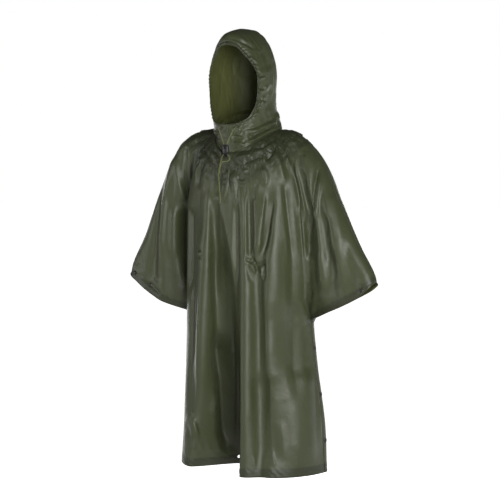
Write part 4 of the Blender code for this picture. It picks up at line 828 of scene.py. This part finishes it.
def near_cuff(grid):
    """1 on the cuffs' edges, falling to 0 over the cloth above them and towards the wrist and underarm."""
    along = bump((SHEET_ROWS - 0.5 * (WRIST_T + UNDERARM_T)) / (0.5 * (UNDERARM_T - WRIST_T))) ** 0.5
    share = np.zeros(grid.shape[:2])
    for column in (0, -1):
        away = from_edge(grid, grid[CUFF_ROWS, column])
        share = np.maximum(share, (1 - ease(away / 0.05)) * along[:, None])
    return share


def relieved(grid, height, face):
    """The grid moved out by a height along its own normals, with its outline and neck seam kept."""
    across = np.linspace(0.0, 1.0, grid.shape[1])[None, :]
    down = np.linspace(0.0, 1.0, grid.shape[0])[:, None]
    keep = ease(np.minimum(across, 1 - across) / 0.02) * ease(down / 0.02)
    return grid + outward(grid, OUT[face]) * (height * keep)[..., None]


def neck_patch(front, back):
    """The reinforcement sewn over the sheet round the neck, one ring through the sheet's own points."""
    keep = (SHEET_ROWS > 0.004) & (SHEET_ROWS < PATCH_REACH)
    f, b = front[keep].copy(), back[keep][:, ::-1]
    f[:, 0] = 0.5 * (f[:, 0] + b[:, -1])
    f[:, -1] = 0.5 * (f[:, -1] + b[:, 0])
    ring = np.concatenate([f, b[:, 1:-1]], axis=1)
    n = unit(np.cross(np.roll(ring, -1, axis=1) - np.roll(ring, 1, axis=1), np.gradient(ring, axis=0)))
    n *= np.where((n * (ring - np.array([0.0, 0.0, -0.25]))).sum(2).mean() < 0, -1.0, 1.0)
    up = above_last(ring)
    along = lengths(ring[-1:], 1) * np.ones_like(up)
    size = 0.5 + 0.5 * noise(along / 0.04, up * 0, 61)
    wave = np.sin(2 * math.pi * (along + 0.4 * up) / 0.011 + 1.4 * noise(along / 0.02, up / 0.02, 62))
    pucker = PATCH_PUCKERS * size * (wave + 0.6) * bump(up / 0.018)
    seam = STITCH_DIP * sum(bump((up - inset) / 0.0025) for inset in PATCH_STITCHES)
    return ring + n * (PATCH_LIFT + pucker + seam)[..., None]


def side_lap(back, side):
    """The front's own edge where it lies over the back beside the closing."""
    keep = SHEET_ROWS > UNDERARM_T - 0.004
    count = int(LAP_SHARE * CELLS["back"]) + 1
    columns = slice(-count, None) if side > 0 else slice(count)
    return back[keep][:, columns] + outward(back, 1.0)[keep][:, columns] * LAP_LIFT


# ---- the hood ---------------------------------------------------------------------------------------
def neck_edge(side):
    """The sheet's neck seam on one side, from the centre front round to the centre back."""
    front, back = (half_ring(0.0, face, side, CELLS[face] // 2) for face in OUT)
    return np.concatenate([front, back[-2::-1]])


def hood_row(t, side):
    """One row of a hood panel, from the centre front or face edge to the centre-back seam."""
    r = {name: float(smooth(HOOD, name, t)) for name in HOOD}
    n = HOOD_SQUARENESS
    start = (1 - min(r["face_x"] / r["half_x"], 0.985) ** n) ** (1 / n)
    front_depth = (r["side_y"] - r["face_y"]) / start
    angle = np.linspace(math.acos(start ** (n / 2)), math.pi, RING_SAMPLES)
    share = np.abs(np.cos(angle)) ** (2 / n)
    x = r["half_x"] * np.abs(np.sin(angle)) ** (2 / n)
    y = r["side_y"] + np.where(np.cos(angle) > 0, -front_depth, r["back_y"] - r["side_y"]) * share
    line = np.stack([side * x, y, np.zeros_like(x)], axis=1)
    run = run_along(line)
    g = run / run[-1]
    bow = np.sin(math.pi * g ** (0.4 if r["arch"] > 0 else 0.7))
    line[:, 2] = r["face_z"] + (r["back_z"] - r["face_z"]) * ease(g) + r["arch"] * bow
    return line


def hood_panel(side):
    """One half of the hood as a grid of points, rows from the neck seam up to the crown seam."""
    neck = spaced(neck_edge(side), HOOD_CELLS)
    first = spaced(hood_row(0.0, side), HOOD_CELLS)
    grid = np.array([spaced(hood_row(t, side), HOOD_CELLS) + (neck - first) * (1 - ease(t / 0.2))
                     for t in HOOD_ROWS])
    t = HOOD_ROWS[:, None] * np.ones(HOOD_CELLS + 1)[None, :]
    v = np.ones(len(grid))[:, None] * np.linspace(0.0, 1.0, HOOD_CELLS + 1)[None, :]
    n = normals(grid)
    n *= np.where(n[..., 0] * side < 0, -1.0, 1.0)[..., None]
    rise = np.zeros_like(t)
    for f in rows_of(HOOD_FOLDS):
        along = (v - f["from_v"]) / (f["to_v"] - f["from_v"])
        line_t = f["from_t"] + (f["to_t"] - f["from_t"]) * along
        ends = ease((along + 0.15) / 0.3) * ease((1.15 - along) / 0.3)
        rise += f[SIDES[side]] * ends * bump((t - line_t) / f["wide"])
    n[:, 0, 0] = 0.0
    n[:, -1, 0] = 0.0
    grid += n * (rise * ease(t / 0.05) * ease((1 - t) / 0.05))[..., None]
    grid += unit(n) * hood_detail(grid, t, side)[..., None]
    lean = smooth(HOOD, "lean", HOOD_ROWS)
    grid[..., 0] += lean[:, None]
    closed = HOOD_ROWS <= HOOD_OPEN_T
    grid[closed, 0, 0] = lean[closed]
    grid[:, -1, 0] = lean
    grid[-1, :, 0] = lean[-1]
    return grid


def hood_detail(grid, t, side):
    """Small relief of a hood panel: the gathered cord channel and the soft creases of its side."""
    run = lengths(grid, 1)
    rim = run_along(grid[:, 0])[:, None] * np.ones_like(t)
    opened = ease((t - HOOD_OPEN_T) / 0.02)
    channel = opened * bump((run - 0.5 * CHANNEL_WIDTH) / (0.62 * CHANNEL_WIDTH)) * CHANNEL_RISE
    stitch = opened * bump((run - CHANNEL_WIDTH) / 0.0030) * CHANNEL_DIP
    slant = rim + 0.8 * run
    size = np.clip(0.45 + 0.75 * noise(slant / 0.022, t * 0 + side, 5), 0.0, 1.0)
    gathers = opened * bump((run - 0.009) / 0.018) * CHANNEL_GATHERS * size
    gathers *= np.sin(2 * math.pi * slant / 0.0125 + 3.4 * noise(slant / 0.03, run / 0.02, 6))
    y, z = grid[..., 1], grid[..., 2]
    collar = 1 - ease((t - 0.20) / 0.10)
    soft = HOOD_WAVES * noise(y / 0.040 + 3, z / 0.060, 8 + side)
    soft += HOOD_CRUMPLES * crumple(y / 0.020, z / 0.030, 11 + side)
    soft += COLLAR_CRUMPLES * collar * crumple(run / 0.012, z / 0.015, 15 + side)
    facing = outward(grid, 1.0) @ VIEW_BACK
    soft += crease_height(*seen(grid), HOOD_CREASES) * ease((np.abs(facing) - 0.08) / 0.25)
    return channel + stitch + gathers + soft * ease(t / 0.04) * ease((1 - t) / 0.05) * ease(run / 0.02)


# ---- meshes -----------------------------------------------------------------------------------------
def new_mesh(name, points, faces):
    mesh = bpy.data.meshes.new(name)
    mesh.from_pydata([tuple(point) for point in points], [], faces)
    mesh.shade_smooth()
    return mesh


def grid_mesh(name, grid, facing, closed=False):
    """Surface of quads through a grid of points; facing is 1 or -1 and turns them outwards."""
    rows, columns = grid.shape[:2]
    index = np.arange(rows * columns).reshape(rows, columns)
    if closed:
        index = np.concatenate([index, index[:, :1]], axis=1)
    a, b, c, d = index[:-1, :-1], index[:-1, 1:], index[1:, 1:], index[1:, :-1]
    order = (a, b, c, d) if facing > 0 else (a, d, c, b)
    faces = np.stack([part.ravel() for part in order], axis=1)
    return new_mesh(name, grid.reshape(-1, 3).tolist(), faces.tolist())


def new_object(name, data):
    made = bpy.data.objects.new(name, data)
    bpy.context.scene.collection.objects.link(made)
    return made


def add_object(name, mesh, *finishes):
    for finish in finishes:
        mesh.materials.append(finish)
    return new_object(name, mesh)


def closed_solid(mesh, finish, weld=False, sharp=None):
    """A solid from a mesh, welded or with its ends filled; its edges are sharp from an angle in degrees."""
    work = bmesh.new()
    work.from_mesh(mesh)
    if weld:
        bmesh.ops.remove_doubles(work, verts=work.verts, dist=WELD)
    else:
        bmesh.ops.holes_fill(work, edges=[e for e in work.edges if e.is_boundary], sides=0)
    bmesh.ops.recalc_face_normals(work, faces=work.faces)
    work.to_mesh(mesh)
    work.free()
    mesh.shade_smooth()
    if sharp:
        mesh.set_sharp_from_angle(angle=math.radians(sharp))
    return add_object(mesh.name, mesh, finish)


def apply_modifiers(made):
    depsgraph = bpy.context.evaluated_depsgraph_get()
    mesh = bpy.data.meshes.new_from_object(made.evaluated_get(depsgraph))
    made.modifiers.clear()
    made.data = mesh


def lay_uv(mesh, flat):
    """Lays each point's place on the flat cloth, in metres, on the mesh as its UV map."""
    layer = mesh.uv_layers.new(name="cloth")
    corners = np.empty(len(mesh.loops), np.int32)
    mesh.loops.foreach_get("vertex_index", corners)
    layer.data.foreach_set("uv", flat.reshape(-1, 2)[corners].astype(np.float32).ravel())


def root_piece(made, slot, *nodes):
    """Rides the piece on the body and takes the place of CAD nodes."""
    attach(made, "root")
    if nodes:
        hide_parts(*nodes)
    return made


# ---- materials --------------------------------------------------------------------------------------
class Nodes:
    """Short calls for building the node tree of a material or world."""

    def __init__(self, owner):
        owner.use_nodes = True
        self.owner = owner
        self.tree = owner.node_tree
        self.shader = self.tree.nodes.get("Principled BSDF") or self.tree.nodes["Background"]

    def give(self, socket, value):
        """Sets a socket to a number or a colour, or links it to another node's socket."""
        if isinstance(value, (int, float)):
            socket.default_value = value
        elif isinstance(value, tuple):
            socket.default_value = (*value, 1.0)
        else:
            self.tree.links.new(value, socket)

    def add(self, kind, inputs=(), **settings):
        """A new node, with its settings and then its inputs by name or number."""
        node = self.tree.nodes.new(kind)
        for key, value in settings.items():
            setattr(node, key, value)
        for key, value in dict(inputs).items():
            self.give(node.inputs[key], value)
        return node

    def shade(self, inputs):
        """Inputs of the shader by name."""
        for key, value in inputs.items():
            self.give(self.shader.inputs[key], value)

    def place(self):
        return self.add("ShaderNodeTexCoord").outputs["Object"]

    def flat(self):
        return self.add("ShaderNodeUVMap", uv_map="cloth").outputs["UV"]

    def multiplied(self, first, second):
        return self.add("ShaderNodeMath", {0: first, 1: second}, operation="MULTIPLY").outputs[0]

    def noise(self, coordinates, scale, detail=3.0, roughness=0.55):
        inputs = {"Vector": coordinates, "Scale": scale, "Detail": detail, "Roughness": roughness}
        return self.add("ShaderNodeTexNoise", inputs).outputs["Fac"]

    def wave(self, coordinates, scale, direction):
        inputs = {"Vector": coordinates, "Scale": scale}
        node = self.add("ShaderNodeTexWave", inputs, wave_type="BANDS", bands_direction=direction)
        return node.outputs["Fac"]

    def between(self, factor, low, high):
        """A value that runs from low to high as the factor runs from 0 to 1."""
        return self.add("ShaderNodeMapRange", {"Value": factor, "To Min": low, "To Max": high}).outputs[0]

    def mix(self, factor, first, second):
        """Two colours mixed by a factor."""
        return self.add("ShaderNodeMix", {0: factor, 6: first, 7: second}, data_type="RGBA").outputs[2]

    def bump(self, height, strength, distance, **before):
        inputs = {"Height": height, "Strength": strength, "Distance": distance, **before}
        return self.add("ShaderNodeBump", inputs).outputs[0]


def nylon_material(name, light, dark, shine, through):
    """Thin coated nylon: a fine plain weave, soft crinkles, a low sheen; painted darker as shade where the
    cloth is doubled.
    """
    n = Nodes(bpy.data.materials.new(name))
    cloth, place = n.flat(), n.place()
    # mask of doubled cloth, where painted shade goes
    doubled_shade = n.add("ShaderNodeAttribute", attribute_name="doubled_shade").outputs["Fac"]

    patches = n.mix(n.noise(place, 9.0, 3.0, 0.6), dark, light)
    fleck = n.noise(cloth, 900.0, 2.0)
    colour = n.mix(n.between(fleck, 0.0, 0.35), patches, tuple(0.72 * c for c in dark))
    # painted shade: doubled cloth is painted darker, standing for the light that shines through one layer
    # but not two
    colour = n.mix(n.multiplied(doubled_shade, 0.75), colour, tuple(0.50 * c for c in dark))

    weave = n.multiplied(n.wave(cloth, WEAVE_SCALE, "X"), n.wave(cloth, WEAVE_SCALE, "Y"))
    normal = n.bump(n.noise(place, 16.0, 3.0, 0.5), 0.22, 0.012)
    normal = n.bump(n.noise(place, 55.0, 5.0, 0.62), 0.20, 0.0035, Normal=normal)
    normal = n.bump(weave, 0.10, 0.0002, Normal=normal)
    wear = n.noise(place, 24.0, 4.0, 0.6)
    n.shade({
        "Base Color": colour,
        "Normal": normal,
        "Roughness": n.between(wear, shine - 0.05, shine + 0.07),
        "Specular IOR Level": 0.52,
        "Sheen Weight": 0.05,
        "Sheen Roughness": 0.45,
        "Sheen Tint": (0.62, 0.66, 0.50),
    })
    glow = n.add("ShaderNodeBsdfTranslucent", {"Color": patches, "Normal": normal})
    blend = n.add("ShaderNodeMixShader", {0: through, 1: n.shader.outputs[0], 2: glow.outputs[0]})
    n.give(n.tree.nodes["Material Output"].inputs["Surface"], blend.outputs[0])
    return n.owner


def mottled_material(name, mottle, dark, light, rough, grain, relief, metallic=0.0):
    """Two colours and two roughnesses mottled by one noise, with a fine grain."""
    n = Nodes(bpy.data.materials.new(name))
    place = n.place()
    patches = n.noise(place, *mottle)
    n.shade({
        "Base Color": n.mix(patches, dark, light),
        "Roughness": n.between(patches, *rough),
        "Metallic": metallic,
        "Normal": n.bump(n.noise(place, grain), relief, 0.0002),
    })
    return n.owner


def cord_material():
    """Lime and dark braided elastic."""
    n = Nodes(bpy.data.materials.new("lime_braid"))
    around = n.flat()
    tracer = n.wave(around, 90.0, "DIAGONAL")
    fibres = n.noise(around, 1600.0, 2.0)
    colour = n.mix(n.between(tracer, 0.0, 0.65), LIME, LIME_SHADE)
    n.shade({
        "Base Color": n.mix(n.between(fibres, 0.0, 0.5), colour, LIME_DARK),
        "Roughness": n.between(fibres, 0.55, 0.80),
        "Normal": n.bump(fibres, 0.4, 0.0003),
        "Sheen Weight": 0.3,
    })
    return n.owner


def floor_material():
    """Pale floor that glows white behind the poncho, as the backdrop is: painted light, growing towards the
    back.
    """
    n = Nodes(bpy.data.materials.new("pale_floor"))
    place = n.place()
    mottle = n.noise(place, 0.7, 2.0)
    behind = n.add("ShaderNodeSeparateXYZ", {0: place}).outputs["Y"]
    n.shade({
        "Base Color": n.mix(mottle, FLOOR_DARK, FLOOR_LIGHT),
        "Roughness": n.between(mottle, 0.75, 0.85),
        # painted light: the floor glows, more the farther back it lies
        "Emission Color": WHITE,
        "Emission Strength": n.between(n.multiplied(behind, 0.5), 0.0, 1.1),
    })
    return n.owner


# ---- pieces -----------------------------------------------------------------------------------------
def cloth_piece(name, grid, facing, finishes, doubled_shade, closed=False):
    """A sewn panel from a grid of points, with its UV map and its doubled places (painted darker as shade),
    and a tree of its surface.
    """
    mesh = grid_mesh(name, grid, facing, closed)
    across = lengths(grid, 1)
    across -= across[:, across.shape[1] // 2][:, None]
    lay_uv(mesh, np.stack([across, lengths(grid, 0)], axis=2))
    layer = mesh.attributes.new("doubled_shade", "FLOAT", "POINT")
    layer.data.foreach_set("value", np.asarray(doubled_shade, np.float32).ravel())
    tree = BVHTree.FromPolygons([v.co for v in mesh.vertices], [p.vertices for p in mesh.polygons])
    return add_object(name, mesh, *finishes), tree


def finish_cloth(made):
    """Gives a panel its wall, with the inside's finish within."""
    wall = made.modifiers.new("wall", "SOLIDIFY")
    wall.thickness = WALL
    wall.offset = -1.0
    wall.material_offset = 1
    apply_modifiers(made)


def level_line(grid, level, measure=None):
    """Points where a measure, by default the length so far, passes a level along each row of a grid."""
    line = []
    for points, values in zip(grid, lengths(grid, 1) if measure is None else measure):
        above = np.nonzero(values >= level)[0]
        if len(above) and above[0] > 0:
            k = above[0]
            share = (level - values[k - 1]) / (values[k] - values[k - 1])
            line.append(points[k - 1] + share * (points[k] - points[k - 1]))
    return np.array(line)


def sheet_seams(grid, tree):
    """The stitching of the hem and of both cuffs on the front or back."""
    seams = [level_line(upwards(grid), HEM_WIDTH - HEM_STITCH)]
    for turn in (1, -1):
        part = grid[CUFF_ROWS][:, ::turn]
        seams.append(level_line(part, CUFF_WIDTH - HEM_STITCH, from_edge(part, part[:, 0])))
    return [(line, tree) for line in seams]


def hood_seams(grid, tree):
    """The stitching of a panel's cord channel, beside its centre-back and crown seams and up its front."""
    opened = HOOD_ROWS > HOOD_OPEN_T + 0.02
    parts = ((grid[opened], CHANNEL_WIDTH), (grid[:, ::-1], SEAM_STITCH), (upwards(grid), SEAM_STITCH),
             (grid[~opened], SEAM_STITCH))
    return [(level_line(part, level), tree) for part, level in parts]


def stitches(name, lines, finish):
    """Rows of sewn stitches: small rounded bars that lie on the cloth along lines of points."""
    points, faces = [], []
    for line, tree in lines:
        run = run_along(line)
        count = int(run[-1] / STITCH_PITCH)
        for k in range(count):
            middle = (k + 0.5) * run[-1] / count
            ends = points_at(line, run, middle + STITCH_LENGTH * STITCH_PLACES)
            place, normal, _, _ = tree.find_nearest(Vector(ends.mean(0)))
            out = np.array(normal)
            ends += np.array(place) - ends.mean(0)
            across = unit(np.cross(out, ends[3] - ends[0]))
            first = len(points)
            for end, size in zip(ends, STITCH_SIZES):
                for c, d in STITCH_SECTION:
                    points.append(end + STITCH_HALF * (size * c * across + (size * d + 0.2) * out))
            faces += [tuple(first + corner for corner in face) for face in STITCH_FACES]
    return root_piece(add_object(name, new_mesh(name, points, faces), finish), "olive_nylon")


def punched(made, centre, radius):
    """Opens a round hole in a fine surface: faces inside go, and the rim moves onto the circle."""
    work = bmesh.new()
    work.from_mesh(made.data)
    middle = Vector(centre)
    gone = [f for f in work.faces if (f.calc_center_median() - middle).length < radius]
    rim = {v for f in gone for v in f.verts}
    bmesh.ops.delete(work, geom=gone, context="FACES")
    for v in rim:
        if v.is_valid and (v.co - middle).length > 1e-9:
            v.co = middle + (v.co - middle).normalized() * radius
    work.to_mesh(made.data)
    work.free()


def node_centre(node):
    low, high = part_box(node)
    return 0.5 * (Vector(low) + Vector(high))


def seat(tree, point):
    """Frame on the surface nearest a point, Z along its normal."""
    place, normal, _, _ = tree.find_nearest(Vector(point))
    return Matrix.Translation(place) @ normal.to_track_quat("Z", "Y").to_matrix().to_4x4()


def turned(name, profile, place, finish):
    """A solid of revolution from (radius, height) pairs; a profile that starts off the axis is a ring."""
    if profile[0][0] > 0:
        profile = (*profile, profile[0])
    angles = [2 * math.pi * k / ROUND_SIDES for k in range(ROUND_SIDES)]
    grid = np.array([[place @ Vector((radius * math.cos(a), radius * math.sin(a), height)) for a in angles]
                     for radius, height in profile])
    return closed_solid(grid_mesh(name, grid, 1, closed=True), finish, weld=True, sharp=38)


def snap_cap(node, tree, finish):
    """Pressed cap of a ring snap: a rolled rim round a shallow dish with a raised centre."""
    profile = [(0.5 * SNAP_DIAMETER * share, height * MM) for share, height in SNAP_PROFILE]
    cap = turned(node + "_cap", profile, seat(tree, node_centre(node)), finish)
    return root_piece(cap, "dark_metal", node)


def rolled_ring(name, node, outer, inner, height, place, finish):
    """A rolled metal ring with a clear hole and a barrel through the cloth."""
    a, b = inner / 2, outer / 2
    profile = [(a, -BARREL_DEPTH), (a, 0.35 * height)]
    for k in range(9):
        angle = math.pi * (1 - k / 8)
        radius = 0.5 * (a + b) + 0.5 * (b - a) * math.cos(angle)
        profile.append((radius, height * (0.35 + 0.65 * math.sin(angle))))
    profile += [(b, 0.0), (a + 0.0006, -0.0010), (a + 0.0005, -BARREL_DEPTH)]
    return root_piece(turned(name, profile, place, finish), "dark_metal", node)


def soft_block(name, centre, size, finish, ribs):
    """A moulded pebble: superellipse sections with rounded ends and optional grip ribs."""
    s = np.linspace(-1.0, 1.0, BLOCK_LEVELS + 1)[:, None]
    angle = 2 * math.pi * np.arange(BLOCK_SIDES) / BLOCK_SIDES
    share = (0.62 + 0.38 * np.sqrt(1 - np.abs(s) ** 5)) * (1 - BLOCK_SWELL * s * s)
    rib = RIB_HEIGHT * np.cos(2 * math.pi * ribs * s) * (np.abs(s) < 0.8) * (ribs > 0)
    x, y = (np.copysign(np.abs(turn) ** (2 / BLOCK_SQUARENESS), turn) * (share * width / 2 + rib)
            for turn, width in ((np.cos(angle), size[0]), (np.sin(angle), size[1])))
    grid = centre + np.stack([x, y, s * size[2] / 2 + 0.0 * x], axis=2)
    return closed_solid(grid_mesh(name, grid, 1, closed=True), finish, sharp=50)


def carved(made, centre, size):
    """Takes a box away from a small moulding."""
    work = bmesh.new()
    bmesh.ops.create_cube(work, size=1.0, matrix=Matrix.Translation(centre) @ Matrix.Diagonal((*size, 1.0)))
    mesh = bpy.data.meshes.new("cutter")
    work.to_mesh(mesh)
    work.free()
    cutter = new_object("cutter", mesh)
    hole = made.modifiers.new("cut", "BOOLEAN")
    hole.operation = "DIFFERENCE"
    hole.solver = "EXACT"
    hole.object = cutter
    apply_modifiers(made)
    bpy.data.objects.remove(cutter, do_unlink=True)


def rounded_path(points, times):
    """The polyline with its corners cut a number of times."""
    for _ in range(times):
        inner = []
        for a, b in zip(points[:-1], points[1:]):
            inner += [0.75 * a + 0.25 * b, 0.25 * a + 0.75 * b]
        points = np.array([points[0]] + inner[1:-1] + [points[-1]])
    return points


def braided_cord(name, path, finish):
    """A round braid as a tube with raised strands; also gives its middle line and its length."""
    line = rounded_path(np.array(path, float), 6)
    run = run_along(line)
    at = np.linspace(0.0, run[-1], int(run[-1] / BRAID_STEP))
    centre = points_at(line, run, at)
    along = unit(np.gradient(centre, axis=0))
    side = unit(np.cross(along, np.array([0.0, 1.0, 0.03])))
    front = np.cross(side, along)
    cap = np.sqrt(np.clip(np.minimum(at, run[-1] - at) / 0.0007, 0.0, 1.0) * 0.75 + 0.25)
    angle = 2 * math.pi * np.arange(BRAID_SIDES) / BRAID_SIDES
    twist = at[:, None] / BRAID_TWIST
    strand = np.sin(4 * angle + twist) * np.sin(4 * angle - twist)
    radius = (CORD_DIAMETER / 2 - BRAID_RELIEF + BRAID_RELIEF * strand) * cap[:, None]
    ring = side[:, None] * np.cos(angle)[:, None] + front[:, None] * np.sin(angle)[:, None]
    mesh = grid_mesh(name, centre[:, None] + radius[..., None] * ring, 1, closed=True)
    lay_uv(mesh, np.stack(np.broadcast_arrays(CORD_DIAMETER * angle / 2, at[:, None]), axis=2))
    return closed_solid(mesh, finish), centre, float(run[-1])


# ---- the poncho -------------------------------------------------------------------------------------
def build_cloth(finishes, lines):
    """The sheet's front and back and the hood's two panels; their seams are added to the lines."""
    grids, made, trees = {}, {}, {}
    for face, out in OUT.items():
        grid = sheet(face)
        height, doubled_shade = sheet_relief(grid, face)
        grid = relieved(grid, height, face)
        grid[..., 2] += out * CUFF_DROP * near_cuff(grid)
        grids[face] = grid
        made[face], trees[face] = cloth_piece("poncho_" + face, grid, out, finishes, doubled_shade)
        lines += sheet_seams(grid, trees[face])
    for side, name in SIDES.items():
        key = "hood_" + name
        grid = hood_panel(side)
        # painted shade: the doubled cord channel is marked to be painted darker
        doubled_shade = (HOOD_ROWS > HOOD_OPEN_T)[:, None] * (1 - ease((lengths(grid, 1) - CHANNEL_WIDTH) / 0.001))
        made[key], trees[key] = cloth_piece("hood_panel_" + name, grid, side, finishes, doubled_shade)
        lines += hood_seams(grid, trees[key])
    return grids, made, trees


def add_lock(finish):
    """The cord lock's barrel, with the slot for the cord, and its ribbed button."""
    for node, ribs in (("cord_lock_body", 0), ("cord_lock_button", BUTTON_RIBS)):
        low, high = (np.array(corner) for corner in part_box(node))
        block = soft_block(node + "_moulding", 0.5 * (low + high), high - low, finish, ribs)
        if node == "cord_lock_body":
            slot = np.array([0.5 * (low[0] + high[0]), low[1], 0.5 * (low[2] + high[2]) + LOCK_SLOT_RISE])
            carved(block, slot, LOCK_SLOT)
        root_piece(block, "black_plastic", node)


def add_cords(finish):
    for node, path in CORD_PATHS.items():
        piece, centre, run = braided_cord(node + "_braid", path, finish)
        root_piece(piece, "lime_cord", node)


def add_floor():
    corners = ((-1, -1), (1, -1), (1, 1), (-1, 1))
    points = [(x * FLOOR_REACH, y * FLOOR_REACH, FLOOR_LEVEL) for x, y in corners]
    add_object("floor", new_mesh("floor", points, [(0, 1, 2, 3)]), floor_material())


def main():
    outer = nylon_material("olive_nylon_outside", *OUTSIDE)
    inside = nylon_material("olive_nylon_inside", *INSIDE)
    metal = mottled_material("dark_plated_metal", *METAL)
    plastic = mottled_material("black_moulded_plastic", *PLASTIC)
    thread = mottled_material("sewing_thread", *THREAD)
    finishes = (outer, inside)

    lines = []
    grids, made, trees = build_cloth(finishes, lines)
    place = seat(trees["front"], node_centre("hem_grommet") + Vector(GROMMET_SHIFT))
    punched(made["front"], place.translation, GROMMET_HOLE / 2 + GROMMET_ROOM)
    rolled_ring("grommet_ring", "hem_grommet", GROMMET_DIAMETER, GROMMET_HOLE, GROMMET_HEIGHT, place, metal)

    patch = neck_patch(grids["front"], grids["back"])
    # painted shade: the whole neck reinforcement is painted darker, as doubled cloth
    made["neck_patch"], tree = cloth_piece("neck_reinforcement", patch, -1, finishes,
                                           np.ones(patch.shape[:2]), closed=True)
    ring = upwards(np.concatenate([patch, patch[:, :1]], axis=1))
    lines += [(level_line(ring, inset), tree) for inset in PATCH_STITCHES]

    for side, name in SIDES.items():
        key = "side_lap_" + name
        lap = side_lap(grids["back"], side)
        # painted shade: the lap's doubled hem is marked to be painted darker
        doubled_shade = 1 - ease((above_last(lap) - HEM_WIDTH) / 0.001)
        made[key], tree = cloth_piece(key + "_cloth", lap, 1, finishes, doubled_shade)
        for number in (1, 2, 3):
            snap_cap(f"snap_side_{name}_{number}", tree, metal)
    for name, piece in made.items():
        finish_cloth(piece)
        root_piece(piece, "olive_nylon", name)
    stitches("seam_stitching", lines, thread)

    for face in OUT:
        for number in (1, 2, 3):
            snap_cap(f"snap_cuff_{face}_{number}", trees[face], metal)
    for name in SIDES.values():
        node = "hood_eyelet_" + name
        place = seat(trees["hood_" + name], node_centre(node))
        rolled_ring("eyelet_ring_" + name, node, EYELET_DIAMETER, EYELET_HOLE, EYELET_HEIGHT, place, metal)
    add_lock(plastic)
    add_cords(cord_material())
    add_floor()
    lights_and_camera()


# ---- light and camera -------------------------------------------------------------------------------
def aimed(name, data, place, back):
    """A light or camera at a place, with its back turned along a direction."""
    made = new_object(name, data)
    made.location = place
    made.rotation_mode = "QUATERNION"
    made.rotation_quaternion = back.to_track_quat("Z", "Y")
    return made


def studio_world(ahead):
    """Even soft light all round, and white where the camera looks past the poncho."""
    n = Nodes(bpy.data.worlds.new("studio"))
    direction = n.add("ShaderNodeTexCoord").outputs["Generated"]
    near = n.add("ShaderNodeVectorMath", {0: direction}, operation="DOT_PRODUCT")
    near.inputs[1].default_value = ahead
    limits = {"From Min": math.cos(math.radians(CONE_EDGE)), "From Max": math.cos(math.radians(WHITE_CONE)),
              "To Min": WORLD_LIGHT, "To Max": 1.0}
    strength = n.add("ShaderNodeMapRange", {"Value": near.outputs["Value"], **limits}).outputs[0]
    n.shade({"Color": WHITE, "Strength": strength})
    bpy.context.scene.world = n.owner


def lights_and_camera():
    back, side, up = Vector(VIEW_BACK), Vector(VIEW_SIDE), Vector((0.0, 0.0, 1.0))
    data = bpy.data.cameras.new("photo_camera")
    data.sensor_width = SENSOR_WIDTH
    data.lens = SENSOR_WIDTH * VIEW_DISTANCE / (PHOTO_SIZE * METRES_A_PIXEL)
    data.shift_x = -VIEW_SHIFT / PHOTO_SIZE
    bpy.context.scene.camera = aimed("photo_camera", data, Vector(VIEW_TARGET) + back * VIEW_DISTANCE, back)

    for name, turn, rise, power in SOFTBOXES:
        a, e = math.radians(turn), math.radians(rise)
        toward = back * (math.cos(a) * math.cos(e)) + side * (math.sin(a) * math.cos(e)) + up * math.sin(e)
        data = bpy.data.lights.new(name, "AREA")
        data.shape = "RECTANGLE"
        data.size, data.size_y = BOX_SIZE
        data.energy = power
        aimed(name, data, Vector(CHEST) + toward * BOX_DISTANCE, toward)
    studio_world(-back)
    bpy.context.scene.view_settings.view_transform = "Standard"


main()
